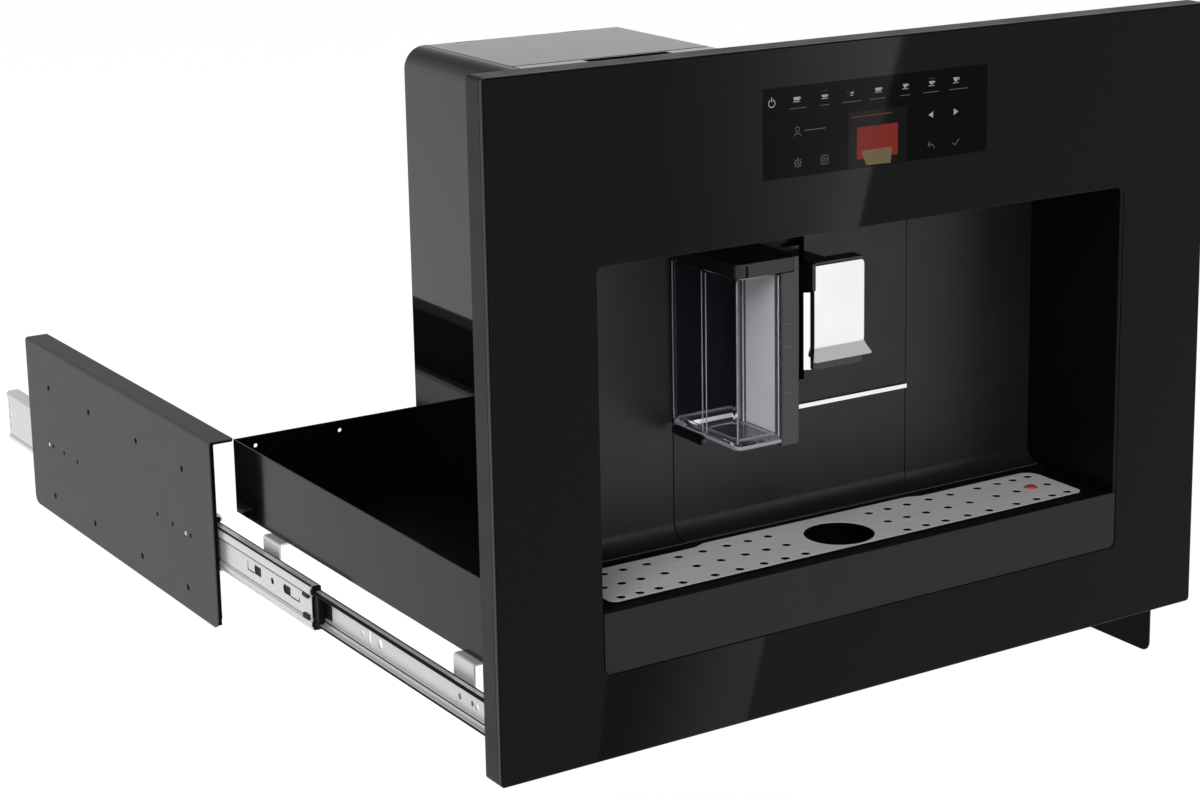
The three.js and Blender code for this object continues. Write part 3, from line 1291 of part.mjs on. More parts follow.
// The sheet that screws to the cabinet's side, with its top edge folded over the carrier.
function mountPlate(side, front) {
  const bottom = PLATE_TOP - PLATE_HEIGHT;
  const face = new THREE.Shape();
  const back = front + PLATE_LENGTH;
  face.moveTo(front, PLATE_TOP);
  face.lineTo(front, bottom + PLATE_CORNER);
  const z = bottom + PLATE_CORNER;
  face.absarc(front + PLATE_CORNER, z, PLATE_CORNER, Math.PI, Math.PI * 1.5, false);
  face.lineTo(back - PLATE_CORNER, bottom);
  face.absarc(back - PLATE_CORNER, z, PLATE_CORNER, -Math.PI / 2, 0, false);
  face.lineTo(back, PLATE_TOP);
  let plate = prism(face, 'x', onSide(side, PLATE_INNER, PLATE_OUTER), 3);
  plate = plate.add(block(
    onSide(side, PLATE_OUTER - PLATE_LIP, PLATE_OUTER),
    [front, back],
    [PLATE_TOP - PLATE_SHEET, PLATE_TOP],
  ));
  const through = onSide(side, PLATE_INNER - CUT, PLATE_OUTER + CUT);
  for (const row of FIXING_ROWS) {
    for (const column of FIXING_COLUMNS) {
      const hole = disc(front + column, PLATE_TOP - row, FIXING_RADIUS);
      plate = plate.subtract(prism(hole, 'x', through, 4));
    }
  }
  for (const column of RIVET_HOLES) {
    const hole = disc(front + column, SLIDE_CENTRE, RIVET_HOLE_RADIUS);
    plate = plate.subtract(prism(hole, 'x', through, 3));
  }
  return plate;
}

// The left slide is shown pulled out, the right one pushed in.
const SIDES = [
  { name: 'left', side: -1, pulled: SLIDE_TRAVEL },
  { name: 'right', side: 1, pulled: 0 },
];

for (const { name, side, pulled } of SIDES) {
  const plateFront = PANEL_BACK + PLATE_SETBACK + pulled;
  addPiece(`${name}_inner_rail`, innerRail(side), MATERIALS.zinc);
  const middleFront = SLIDE_FRONT + MIDDLE_SETBACK + pulled / 2;
  addPiece(`${name}_middle_rail`, middleRail(side, middleFront), MATERIALS.zinc);
  addPiece(`${name}_outer_rail`, outerRail(side, plateFront + RAIL_SETBACK), MATERIALS.zinc);
  addPiece(`${name}_mount_plate`, mountPlate(side, plateFront), MATERIALS.painted);
  addPiece(`${name}_hanger_front`, hanger(side, HANGER_PLACES[0]), MATERIALS.zinc);
  addPiece(`${name}_hanger_rear`, hanger(side, HANGER_PLACES[1]), MATERIALS.zinc);
}

machine.position.set(0, -PANEL_BACK, -SEAT_HEIGHT);

export default machine;
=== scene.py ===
import itertools
import math

import bmesh
import bpy
from mathutils import Matrix, Vector


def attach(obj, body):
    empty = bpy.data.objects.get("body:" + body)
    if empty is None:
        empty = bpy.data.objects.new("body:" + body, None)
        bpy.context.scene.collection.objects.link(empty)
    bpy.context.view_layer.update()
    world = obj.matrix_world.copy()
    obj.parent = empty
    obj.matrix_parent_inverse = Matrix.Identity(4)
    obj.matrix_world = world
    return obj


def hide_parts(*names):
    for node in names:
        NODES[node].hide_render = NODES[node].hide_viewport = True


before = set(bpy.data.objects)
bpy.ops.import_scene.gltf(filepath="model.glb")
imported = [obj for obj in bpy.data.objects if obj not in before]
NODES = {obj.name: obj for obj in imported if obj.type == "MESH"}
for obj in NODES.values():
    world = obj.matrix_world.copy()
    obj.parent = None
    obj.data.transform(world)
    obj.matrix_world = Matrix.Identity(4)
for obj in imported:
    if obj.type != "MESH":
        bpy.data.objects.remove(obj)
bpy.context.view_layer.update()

# Sizes are written in millimetres from the bottom centre of the glass front, X to the right,
# Y to the back and Z up, and are turned into the part's frame when a mesh is made.
MM = 0.001
ORIGIN = Vector((0.0, -0.020, -0.020))


# ------------------------------------------------------------------ outlines

def rect(x, y):
    return [(x[0], y[0]), (x[1], y[0]), (x[1], y[1]), (x[0], y[1])]


def arc(cx, cy, radius, start, end, steps=8):
    """Points on an arc, with the angles in degrees."""
    points = []
    for i in range(steps + 1):
        angle = math.radians(start + (end - start) * i / steps)
        points.append((cx + radius * math.cos(angle), cy + radius * math.sin(angle)))
    return points


def rounded(x, y, radius):
    """A rectangle whose corners have one radius, or four from bottom left round to top left."""
    r = [radius] * 4 if not isinstance(radius, (list, tuple)) else radius
    return [
        *arc(x[0] + r[0], y[0] + r[0], r[0], 180, 270),
        *arc(x[1] - r[1], y[0] + r[1], r[1], 270, 360),
        *arc(x[1] - r[2], y[1] - r[2], r[2], 0, 90),
        *arc(x[0] + r[3], y[1] - r[3], r[3], 90, 180),
    ]


def circle(cx, cy, radius, steps=24):
    return arc(cx, cy, radius, 0, 360, steps)[:-1]


def oblong(cx, cy, length, width, angle=0):
    """A slot with round ends."""
    half = (length - width) / 2
    points = [*arc(half, 0, width / 2, -90, 90), *arc(-half, 0, width / 2, 90, 270)]
    c, s = math.cos(math.radians(angle)), math.sin(math.radians(angle))
    return [(cx + a * c - b * s, cy + a * s + b * c) for a, b in points]


def inner(span, by):
    """A span with both of its ends moved inward."""
    return span[0] + by, span[1] - by


def area(loop):
    return sum(
        a[0] * b[1] - b[0] * a[1] for a, b in zip(loop, loop[1:] + loop[:1])
    ) / 2


SHARPEST_MITRE = 0.35


def thick(path, width):
    """The closed outline of a bent sheet: a path with a thickness laid to its left."""
    points = [Vector(p) for p in path]
    other = []
    for i, p in enumerate(points):
        before = (p - points[i - 1]).normalized() if i else None
        after = (points[i + 1] - p).normalized() if i + 1 < len(points) else None
        ends = [d for d in (before, after) if d is not None]
        normals = [Vector((-d.y, d.x)) for d in ends]
        normal = sum(normals, Vector((0, 0))).normalized()
        other.append(p + normal * width / max(SHARPEST_MITRE, normal.dot(normals[0])))
    return [tuple(p) for p in points] + [tuple(p) for p in reversed(other)]


# ------------------------------------------------------------------ meshes

AXES = {
    "x": Matrix(((0, 0, 1, 0), (1, 0, 0, 0), (0, 1, 0, 0), (0, 0, 0, 1))),
    "y": Matrix(((1, 0, 0, 0), (0, 0, -1, 0), (0, 1, 0, 0), (0, 0, 0, 1))),
    "z": Matrix.Identity(4),
}
SIGN = {"x": 1, "y": -1, "z": 1}
LARGEST_EDGE = 0.98     # of half the plate's thickness
SAME_POINT = 1e-7       # metres
WELD = 2e-6             # metres


def extruded(loops, axis, span, edge=0.3, rounds=2):
    """A plate with rounded edges. Loops are (y, z) for x, (x, z) for y and (x, y) for z."""
    curve = bpy.data.curves.new("outline", "CURVE")
    curve.dimensions = "2D"
    curve.fill_mode = "BOTH"
    for index, loop in enumerate(loops):
        if (area(loop) > 0) == (index > 0):
            loop = loop[::-1]
        spline = curve.splines.new("POLY")
        spline.points.add(len(loop) - 1)
        for point, (a, b) in zip(spline.points, loop):
            point.co = (a * MM, b * MM, 0, 1)
        spline.use_cyclic_u = True
    low, high = sorted(span)
    half = (high - low) / 2
    edge = min(edge, half * LARGEST_EDGE)
    curve.extrude = (half - edge) * MM
    if edge > 0:
        curve.bevel_depth = edge * MM
        curve.bevel_resolution = rounds
        curve.offset = -edge * MM
    holder = bpy.data.objects.new("outline", curve)
    bpy.context.scene.collection.objects.link(holder)
    graph = bpy.context.evaluated_depsgraph_get()
    mesh = bpy.data.meshes.new_from_object(holder.evaluated_get(graph))
    bpy.data.objects.remove(holder)
    bpy.data.curves.remove(curve)
    centre = SIGN[axis] * (low + high) / 2 * MM
    mesh.transform(Matrix.Translation((0, 0, centre)))
    mesh.transform(Matrix.Translation(ORIGIN) @ AXES[axis])
    return mesh


def block(x, y, z, edge=0.5):
    """A block with rounded edges and corners."""
    bm = bmesh.new()
    bmesh.ops.create_cube(bm, size=1)
    for vert in bm.verts:
        vert.co = Vector(
            tuple(s[0] + (s[1] - s[0]) * (c + 0.5) for s, c in zip((x, y, z), vert.co))
        ) * MM + ORIGIN
    if edge:
        bmesh.ops.bevel(
            bm, geom=bm.edges[:], offset=edge * MM, segments=2, profile=0.5, affect="EDGES",
        )
    return finished(bm)


def bridge(bm, rings):
    """Joins closed rings of points into a skin and fills its two ends."""
    for low, high in zip(rings, rings[1:]):
        for i in range(len(low)):
            j = (i + 1) % len(low)
            bm.faces.new((low[i], low[j], high[j], high[i]))
    bm.faces.new(rings[0][::-1])
    bm.faces.new(rings[-1])


def lathe(profile, centre, axis="z", steps=32):
    """A turned piece: (radius, distance along the axis) pairs round a centre."""
    bm = bmesh.new()
    turn = AXES[axis].to_3x3()
    rings = []
    for radius, along in profile:
        ring = []
        for i in range(steps):
            a = 2 * math.pi * i / steps
            local = Vector((radius * math.cos(a), radius * math.sin(a), SIGN[axis] * along))
            ring.append(bm.verts.new((Vector(centre) + turn @ local) * MM + ORIGIN))
        rings.append(ring)
    bridge(bm, rings)
    bmesh.ops.remove_doubles(bm, verts=bm.verts[:], dist=SAME_POINT)
    bmesh.ops.recalc_face_normals(bm, faces=bm.faces[:])
    return finished(bm)


def lofted(rows):
    """A skin through rows of points, each row a closed loop, with its two ends filled."""
    bm = bmesh.new()
    bridge(bm, [[bm.verts.new(Vector(p) * MM + ORIGIN) for p in row] for row in rows])
    bmesh.ops.recalc_face_normals(bm, faces=bm.faces[:])
    return finished(bm)


def finished(bm):
    mesh = bpy.data.meshes.new("mesh")
    bm.to_mesh(mesh)
    bm.free()
    return mesh


def joined(*meshes):
    bm = bmesh.new()
    for mesh in meshes:
        bm.from_mesh(mesh)
        bpy.data.meshes.remove(mesh)
    return finished(bm)


def smooth(mesh, angle):
    """Welds a mesh and shades it smooth, but for edges sharper than an angle in degrees."""
    bm = bmesh.new()
    bm.from_mesh(mesh)
    bmesh.ops.remove_doubles(bm, verts=bm.verts[:], dist=WELD)
    bm.to_mesh(mesh)
    bm.free()
    mesh.shade_smooth()
    mesh.set_sharp_from_angle(angle=math.radians(angle))


def flatten(obj):
    """Lets the large faces keep their own direction, so that only the rounded edges turn."""
    weighted = obj.modifiers.new("faces", "WEIGHTED_NORMAL")
    weighted.mode = "FACE_AREA"
    weighted.weight = 100
    weighted.keep_sharp = True


def piece(name, mesh, material, body, replaces=(), angle=32):
    """A visible piece on a body, shaded smooth up to an angle, instead of some solids."""
    smooth(mesh, angle)
    mesh.materials.clear()
    mesh.materials.append(material)
    obj = bpy.data.objects.new(name, mesh)
    bpy.context.scene.collection.objects.link(obj)
    flatten(obj)
    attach(obj, body)
    if replaces:
        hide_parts(*replaces)
    return obj


SOLID_SHARP, SOLID_FLAT, SOLID_ROUNDED = 30, 0.5, 35    # degrees between two faces


def dress(node, material, edge=0.4, segments=2):
    """Gives a carried-over solid its finish and rounds its edges."""
    obj = NODES[node]
    obj.data.materials.clear()
    obj.data.materials.append(material)
    obj.data.shade_smooth()
    obj.data.set_sharp_from_angle(angle=math.radians(SOLID_SHARP))
    if edge:
        flat = obj.modifiers.new("flat", "DECIMATE")
        flat.decimate_type = "DISSOLVE"
        flat.angle_limit = math.radians(SOLID_FLAT)
        bevel = obj.modifiers.new("edge", "BEVEL")
        bevel.width = edge * MM
        bevel.segments = segments
        bevel.limit_method = "ANGLE"
        bevel.angle_limit = math.radians(SOLID_ROUNDED)
        bevel.use_clamp_overlap = True
    flatten(obj)


# ------------------------------------------------------------------ finishes

NOISE_LOW, NOISE_HIGH = 0.3, 0.7


def add(tree, kind, values=(), **settings):
    """A new node with its settings and its constant inputs."""
    node = tree.nodes.new(kind)
    for name, value in settings.items():
        setattr(node, name, value)
    for socket, value in dict(values).items():
        node.inputs[socket].default_value = value
    return node


def surface(
    name, color, rough, metallic=0.0, level=0.5, ior=1.5, tint=0.06, spread=0.04,
    scale=40.0, stretch=(1, 1, 1), grain=0.0, grain_scale=900.0, grain_depth=0.00004,
    transmission=0.0, glow=None, glow_strength=0.0,
):
    """A finish whose colour, roughness and relief vary in the piece's own coordinates."""
    material = bpy.data.materials.new(name)
    material.use_nodes = True
    tree = material.node_tree
    shader = tree.nodes["Principled BSDF"]
    shader.inputs["Metallic"].default_value = metallic
    shader.inputs["Specular IOR Level"].default_value = level
    shader.inputs["IOR"].default_value = ior
    shader.inputs["Transmission Weight"].default_value = transmission
    place = add(tree, "ShaderNodeTexCoord")
    mapping = add(tree, "ShaderNodeMapping", {"Scale": stretch})
    tree.links.new(place.outputs["Object"], mapping.inputs["Vector"])

    def noise(size, detail):
        node = add(tree, "ShaderNodeTexNoise", {"Scale": size, "Detail": detail})
        tree.links.new(mapping.outputs["Vector"], node.inputs["Vector"])
        return node.outputs["Fac"]

    broad = noise(scale, detail=4)
    mix = add(tree, "ShaderNodeMix", data_type="RGBA")
    mix.inputs["A"].default_value = (*[c * (1 - tint) for c in color], 1)
    mix.inputs["B"].default_value = (*[min(1, c * (1 + tint)) for c in color], 1)
    tree.links.new(broad, mix.inputs["Factor"])
    tree.links.new(mix.outputs["Result"], shader.inputs["Base Color"])
    span = add(tree, "ShaderNodeMapRange", {
        "From Min": NOISE_LOW, "From Max": NOISE_HIGH,
        "To Min": max(0.0, rough - spread), "To Max": min(1.0, rough + spread),
    })
    tree.links.new(broad, span.inputs["Value"])
    tree.links.new(span.outputs["Result"], shader.inputs["Roughness"])
    if grain:
        bump = add(tree, "ShaderNodeBump", {"Strength": grain, "Distance": grain_depth})
        tree.links.new(noise(grain_scale, detail=2), bump.inputs["Height"])
        tree.links.new(bump.outputs["Normal"], shader.inputs["Normal"])
    if glow:
        shader.inputs["Emission Color"].default_value = (*glow, 1)
        shader.inputs["Emission Strength"].default_value = glow_strength
    return material


GLASS = surface("panel_glass", (0.0012, 0.0012, 0.0013), 0.03, level=0.105, spread=0.01)
WINDOW = surface("window_glass", (0.0008, 0.0008, 0.0009), 0.03, level=0.042, spread=0.01)
# Painted highlight: the glass's rims are lighter than its face.
GLASS_EDGE_HIGHLIGHT = surface("glass_edge_highlight", (0.02, 0.02, 0.021), 0.35, level=0.2)
FRAME = surface("frame_plastic", (0.0078, 0.0078, 0.0082), 0.42, level=0.175, grain=0.25)
NICHE = surface("niche_plastic", (0.010, 0.010, 0.0105), 0.38, level=0.35, grain=0.2)
# Painted shade: the niche's side walls get a darker copy of the niche's plastic, as if in shade.
SHADED_NICHE_SIDE = surface("niche_side_painted_shade", (0.0022, 0.0022, 0.0023), 0.42, level=0.12, grain=0.2)
DRAWER = surface("drawer_plastic", (0.0062, 0.0062, 0.0064), 0.4, level=0.24, grain=0.2)
GLOSS = surface("gloss_black", (0.003, 0.0028, 0.0034), 0.035, spread=0.012)
BLACK = surface("black_plastic", (0.008, 0.008, 0.0085), 0.32, level=0.4, grain=0.2)
# Black plastic, also used for painted shade on the rails and under the grille.
DEEP_BLACK_AND_SHADE = surface("deep_black_plastic_and_painted_shade", (0.004, 0.004, 0.0042), 0.5, level=0.14, grain=0.2)
GREY = surface("grey_plastic", (0.027, 0.027, 0.0285), 0.4, grain=0.25)
LIGHT_GREY = surface("light_grey_plastic", (0.93, 0.93, 0.88), 0.4, grain=0.2)
# Painted highlight: a light grey line for the lit foot of the back wall's cove.
COVE_FOOT_HIGHLIGHT = surface("cove_foot_painted_highlight", (0.08, 0.08, 0.082), 0.35, grain=0.2)
# Painted shade: a dark sheet inside the carafe's rear wall.
CARAFE_REAR_SHADE = surface("carafe_painted_shade", (0.006, 0.0054, 0.0092), 0.2, level=0.03, grain=0.1)
MARK = surface("level_mark", (0.065, 0.065, 0.068), 0.5, grain=0.1)
PAINT = surface(
    "sheet_paint", (0.062, 0.062, 0.063), 0.5, level=0.22, tint=0.015, spread=0.015, grain=0.4,
    grain_scale=700, grain_depth=0.00006,
)
PAINT_GLOSS = surface(
    "tray_paint", (0.0035, 0.0035, 0.0036), 0.12, level=0.19, spread=0.03, grain=0.12,
    grain_scale=500,
)
# Painted reflection: the hopper lid is a lighter lavender grey than the housing's black, for the
# light its top reflects.
LID_PAINTED_SHEEN = surface("lid_gloss_painted_sheen", (0.032, 0.013, 0.035), 0.12, level=0.19, spread=0.02, grain=0.1)
# Black for the seams on top, and painted shade: inside the tray, on the plates' inner faces, in
# the top's recess and in the carafe lid's slot.
SEAM_BLACK_AND_SHADE = surface(
    "seam_black_and_painted_shade", (0.0025, 0.0025, 0.0026), 0.5, level=0.05, grain=0.4, grain_scale=700,
)
ZINC = surface(
    "zinc", (0.735, 0.735, 0.745), 0.3, metallic=0.5, spread=0.07, scale=60, stretch=(1, 0.06, 1),
    grain=0.25, grain_scale=500, tint=0.1,
)
STEEL = surface(
    "brushed_steel", (0.79, 0.785, 0.805), 0.42, metallic=0.2, spread=0.06, scale=260,
    stretch=(0.04, 1, 1), grain=0.3, grain_scale=1400, tint=0.08,
)
CHROME = surface("chrome", (0.86, 0.86, 0.87), 0.06, metallic=1, spread=0.02, tint=0.02)
CLEAR = surface(
    "clear_plastic", (0.765, 0.76, 0.797), 0.02, ior=1.22, transmission=1, spread=0.01, tint=0.01,
)
# Painted highlight: frosted plastic for the light lines and bands on the clear carafe.
FROSTED_HIGHLIGHT = surface(
    "frosted_painted_highlight", (0.55, 0.54, 0.60), 0.15, ior=1.35, transmission=0.6, spread=0.05,
)
SMOKED = surface(
    "smoked_plastic", (0.55, 0.57, 0.60), 0.06, ior=1.49, transmission=0.92, spread=0.02,
)
RED = surface("red_plastic", (0.56, 0.05, 0.055), 0.25, spread=0.05)
BOARD = surface("circuit_board", (0.015, 0.09, 0.03), 0.35, tint=0.25, scale=300)
CAST = surface(
    "cast_metal", (0.42, 0.42, 0.43), 0.45, metallic=1, grain=0.5, grain_scale=400, tint=0.12,
)
BRASS = surface("brass", (0.60, 0.40, 0.16), 0.3, metallic=1, spread=0.08, tint=0.08)
PRINT = surface(
    "white_print", (0.2, 0.2, 0.195), 0.3, level=0.1, glow=(0.9, 0.88, 0.84), glow_strength=0.15,
)
PRINT_DIM = surface(
    "grey_print", (0.05, 0.05, 0.05), 0.3, level=0.1, glow=(0.9, 0.9, 0.9), glow_strength=0.03,
)
AMBER = surface(
    "amber_light", (0.06, 0.02, 0.012), 0.3, level=0.1, glow=(0.75, 0.25, 0.12),
    glow_strength=0.05,
)
SCREEN_RED = surface(
    "red_light", (0.05, 0.005, 0.003), 0.1, level=0.06, glow=(0.6, 0.05, 0.03), glow_strength=0.2,
    tint=0.2,
)
SCREEN_TAN = surface(
    "tan_light", (0.05, 0.04, 0.02), 0.1, level=0.06, glow=(0.6, 0.48, 0.22), glow_strength=0.13,
    tint=0.35, scale=500,
)
SCREEN_DARK = surface("screen_dark", (0.003, 0.003, 0.003), 0.04, level=0.06, spread=0.01)


# ------------------------------------------------------------------ glass front

PANEL_X, PANEL_Z = (-297.5, 297.5), (0, 455)
OPENING_X, OPENING_Z = (-220, 220), (58, 329)
GLASS_BACK = 4

piece("glass_front", extruded([
    rounded(inner(PANEL_X, 0.8), inner(PANEL_Z, 0.8), 2.4), rounded(OPENING_X, OPENING_Z, 5),
], "y", (0.15, 3.6)), GLASS, "machine", ["front_glass"])
# Painted highlight: light rims round the glass's outer edge and its opening.
piece("glass_edge_highlight", joined(
    extruded([
        rounded(PANEL_X, PANEL_Z, 3), rounded(inner(PANEL_X, 0.7), inner(PANEL_Z, 0.7), 2.4),
    ], "y", (0.6, GLASS_BACK)),
    extruded([
        rounded(inner(OPENING_X, -0.6), inner(OPENING_Z, -0.6), 5.5),
        rounded(inner(OPENING_X, 0.4), inner(OPENING_Z, 0.4), 4.8),
    ], "y", (1.2, GLASS_BACK), edge=0.2),
), GLASS_EDGE_HIGHLIGHT, "machine")
dress("panel_frame", FRAME, edge=1.2, segments=3)
dress("display_screen", SCREEN_DARK, edge=0.2)
dress("control_board", BOARD, edge=0)

PRINT_FACE, PRINT_GAUGE = 0.12, 0.02
RING_STEPS = 20


def decal(name, shapes, material, depth):
    """Thin printed shapes on the glass, each a list of loops, at a depth in front of it."""
    span = (PRINT_FACE - depth, PRINT_FACE + PRINT_GAUGE - depth)
    meshes = [extruded(loops, "y", span, edge=0) for loops in shapes]
    piece(name, joined(*meshes), material, "machine")


def ring(cx, cz, radius, width, start=0, end=360):
    if end - start >= 360:
        return [circle(cx, cz, radius), circle(cx, cz, radius - width)]
    return [[
        *arc(cx, cz, radius, start, end, RING_STEPS),
        *arc(cx, cz, radius - width, end, start, RING_STEPS),
    ]]


def stroke(x0, z0, x1, z1, width):
    length = math.hypot(x1 - x0, z1 - z0) + width
    angle = math.degrees(math.atan2(z1 - z0, x1 - x0))
    return [oblong((x0 + x1) / 2, (z0 + z1) / 2, length, width, angle)]


def cup(cx, cz, width, height, taper):
    """A cup seen from the side, with its handle and saucer."""
    half = width / 2
    bowl = [
        (cx - half, cz + height), (cx - half + taper, cz), (cx + half - taper, cz),
        (cx + half, cz + height),
    ]
    return [
        [bowl], ring(cx + half, cz + height * 0.6, height * 0.34, 0.5, -90, 90),
        stroke(cx - half, cz - 0.9, cx + half, cz - 0.9, 0.45),
    ]


def arrowhead(x, z, reach):
    """A triangle from its tip."""
    return [[(x, z), (x + reach, z + 2.2), (x + reach, z - 2.2)]]


def power_sign(x, z):
    return [ring(x, z, 2.8, 0.6, 118, 422), stroke(x, z + 1.2, x, z + 3.6, 0.7)]


def user_sign(x, z):
    return [ring(x, z + 5.9, 1.8, 0.55), ring(x, z, 3.6, 0.6, 25, 155)]


def back_sign(x, z):
    return [
        stroke(x, z, x + 1.9, z + 1.7, 0.6), stroke(x, z, x + 1.9, z - 1.7, 0.6),
        stroke(x, z, x + 2.9, z, 0.6), ring(x + 2.7, z - 3.1, 3.2, 0.6, 0, 90),
    ]


def tick_sign(x, z):
    return [stroke(x - 1.6, z + 1.6, x, z, 0.7), stroke(x, z, x + 3.6, z + 4, 0.7)]


def gear_sign(x, z):
    shapes = [ring(x, z, 2.5, 0.6), ring(x, z, 1.1, 0.5)]
    for i in range(8):
        a = math.radians(45 * i)
        c, s = math.cos(a), math.sin(a)
        shapes.append(stroke(x + 2.4 * c, z + 2.4 * s, x + 3.2 * c, z + 3.2 * s, 0.7))
    return shapes


def framed_sign(x, z):
    return [
        [rounded((x - 3.1, x + 3.1), (z - 3.2, z + 3.2), 1.8),
         rounded((x - 2.5, x + 2.5), (z - 2.6, z + 2.6), 1.3)],
        ring(x, z, 1.7, 0.5), stroke(x - 1.1, z - 1.1, x + 1.1, z + 1.1, 0.45),
    ]


# Each cup's centre, width, height and taper, and the ends of the bar under it.
CUPS = [
    (-67.2, 5.2, 2.2, 0.4), (-44.9, 4.9, 1.6, 0.6), (-22.8, 2.4, 1.2, 0.5), (-1.0, 5.3, 2.0, 0.4),
    (21.4, 4.6, 2.4, 1.5), (43.6, 4.6, 2.2, 1.5), (64.4, 4.6, 2.8, 1.5),
]
BARS = [
    (-73.5, -59.1), (-48.6, -40.7), (-30.8, -14.6), (-8.1, 5.6), (16.9, 26), (36.3, 50.2),
    (58.3, 74.9),
]
CUP_ROW, BAR_ROW = 419.4, 414.2

decal("display_window", [[rounded((-94, 92), (369, 429), 1.2)]], WINDOW, 0.0)
decal("screen_area", [[rect((-25.4, 23.2), (369.6, 407))]], SCREEN_DARK, 0.02)
decal("display_icons", [
    *power_sign(-86.9, 419.2),
    *[shape for x, *sizes in CUPS for shape in cup(x, CUP_ROW, *sizes)],
    arrowhead(41.2, 398.8, 4), arrowhead(67, 398.8, -4),
], PRINT, 0.05)
decal("display_small_icons", [
    *user_sign(-66.6, 394.4), *back_sign(40.9, 378.7), *tick_sign(64.2, 375.8),
    *gear_sign(-66.3, 378), *framed_sign(-44.9, 378),
    *[stroke(low + 0.5, BAR_ROW, high - 0.5, BAR_ROW, 0.55) for low, high in BARS],
    stroke(-60.6, 399.0, -44.2, 399.0, 0.65),
], PRINT_DIM, 0.05)
decal("display_heading", [stroke(-23.4, 403.6, 10.2, 403.6, 0.8)], AMBER, 0.05)
decal("display_accents", [
    stroke(-47.6, 423.4, -42.4, 423.4, 0.4), stroke(-26, 421.9, -26, 419.6, 0.5),
    stroke(41.4, 423.4, 46, 423.4, 0.4),
], AMBER, 0.06)
decal("display_picture", [[rect((-18.5, 15.5), (375, 396.4))]], SCREEN_RED, 0.05)
decal("display_cup", [[
    [(-10.6, 370.4), (9.6, 369.8), (10.6, 380.7), (-11.4, 380.5), (-14.6, 380.2), (-14, 377.4)],
]], SCREEN_TAN, 0.07)


# ------------------------------------------------------------------ serving niche

NICHE_BACK, WALL = 100, 3
FOOT_RADIUS, FOOT_THINNING, FOOT_STEPS = 12, 1.8, 16
SIDE_PANELS = {"left": (-219.2, -101.3), "right": (101.3, 219.2)}
CENTRE = (-101.3, 101.3)
LEDGE_Z = (97.6, 100.2)
BIN_X, BIN_Y, BIN_Z = (-80, 80), (103, 223), (104.4, 170.2)


def cove(x, top, foot):
    """The back wall's section, which curves forward at its foot and gets thinner there."""
    front, centre = NICHE_BACK - FOOT_RADIUS, foot + FOOT_RADIUS
    angles = [math.radians(90 * i / FOOT_STEPS) for i in range(FOOT_STEPS + 1)]
    section = [(NICHE_BACK + WALL, top), (NICHE_BACK, top)]
    section += [
        (front + FOOT_RADIUS * math.cos(a), centre - FOOT_RADIUS * math.sin(a)) for a in angles
    ]
    for a in reversed(angles):
        radius = FOOT_RADIUS + WALL - FOOT_THINNING * math.sin(a)
        section.append((front + radius * math.cos(a), centre - radius * math.sin(a)))
    return extruded([section], "x", x, edge=0.35)


# The side walls in the darker copy of the niche's plastic: painted shade.
dress("niche_liner", SHADED_NICHE_SIDE, edge=0.5)
for side, span in SIDE_PANELS.items():
    piece(f"back_wall_{side}", cove(span, 328.7, 101), NICHE, "machine",
          [f"back_panel_{side}"])
piece("niche_ledge", joined(
    *[block(span, (78.3, 89.4), LEDGE_Z, edge=0.3) for span in SIDE_PANELS.values()],
    block(CENTRE, (82.4, 89.4), LEDGE_Z, edge=0.3),
), DEEP_BLACK_AND_SHADE, "machine")
# Painted highlight: a thin light grey line along the foot of the back wall's cove.
piece("cove_foot_highlight", block((-219.2, 219.2), (87.6, 88.2), (100.1, 100.5), edge=0.15), COVE_FOOT_HIGHLIGHT,
      "machine")
dress("centre_panel", NICHE, edge=0.35)
dress("trim_strip", CHROME)
piece("grounds_bin", joined(
    cove((-100.7, 100.7), 177, 101.7),
    block(BIN_X, BIN_Y, (104.2, 106.7), edge=0.6),
    block((-80, -77.5), BIN_Y, BIN_Z, edge=0.6),
    block((77.5, 80), BIN_Y, BIN_Z, edge=0.6),
    block(BIN_X, (220.5, 223), BIN_Z, edge=0.6),
), NICHE, "grounds_drawer", ["grounds_container"])


# ------------------------------------------------------------------ drip drawer

HOLE_COLUMNS = [44, 61, 78.5, 98.5, 118.5, 144, 163, 178, 192.5]
HOLE_ROWS = [23, 45.5, 68]
DRAIN, DRAIN_RADIUS, CLEAR_OF_DRAIN = (0, 44), 25, 30.2
FLOAT, FLOAT_RADIUS, CLEAR_OF_FLOAT = (178, 47), 5.1, 10.3

piece("drawer_front", extruded(
    [rounded((-219, 219), (58.5, 100.5), [4.6, 4.6, 0.9, 0.9])], "y", (0.25, GLASS_BACK),
    edge=0.5, rounds=3,
), DRAWER, "drip_drawer", ["drip_drawer_front"])
dress("drip_tray", DEEP_BLACK_AND_SHADE)


def swell(x, y, rise):
    """A smooth step in the grille's rear edge, 14 mm wide."""
    shares = [i / 8 for i in range(9)]
    return [(x - 14 * t, y + rise * (3 * t * t - 2 * t ** 3)) for t in shares]


def grille(span, hole):
    outline = [
        *arc(-197, 23, 6, 180, 270), *arc(197, 23, 6, 270, 360), *arc(191, 65.7, 12, 0, 90, 10),
        *swell(101, 77.7, 4), *swell(-87, 81.7, -4), *arc(-191, 65.7, 12, 90, 180, 10),
    ]
    loops = [outline, circle(*DRAIN, DRAIN_RADIUS, 48), circle(*FLOAT, FLOAT_RADIUS)]
    for column, row, side in itertools.product(HOLE_COLUMNS, HOLE_ROWS, (-1, 1)):
        place = (side * column, row)
        if math.dist(place, FLOAT) > CLEAR_OF_FLOAT and math.dist(place, DRAIN) > CLEAR_OF_DRAIN:
            loops.append(circle(*place, hole, 16))
    return extruded(loops, "z", span, edge=0.08)


piece("grille_plate", grille((99.55, 100), 3.2), STEEL, "grille", ["cup_grille"])
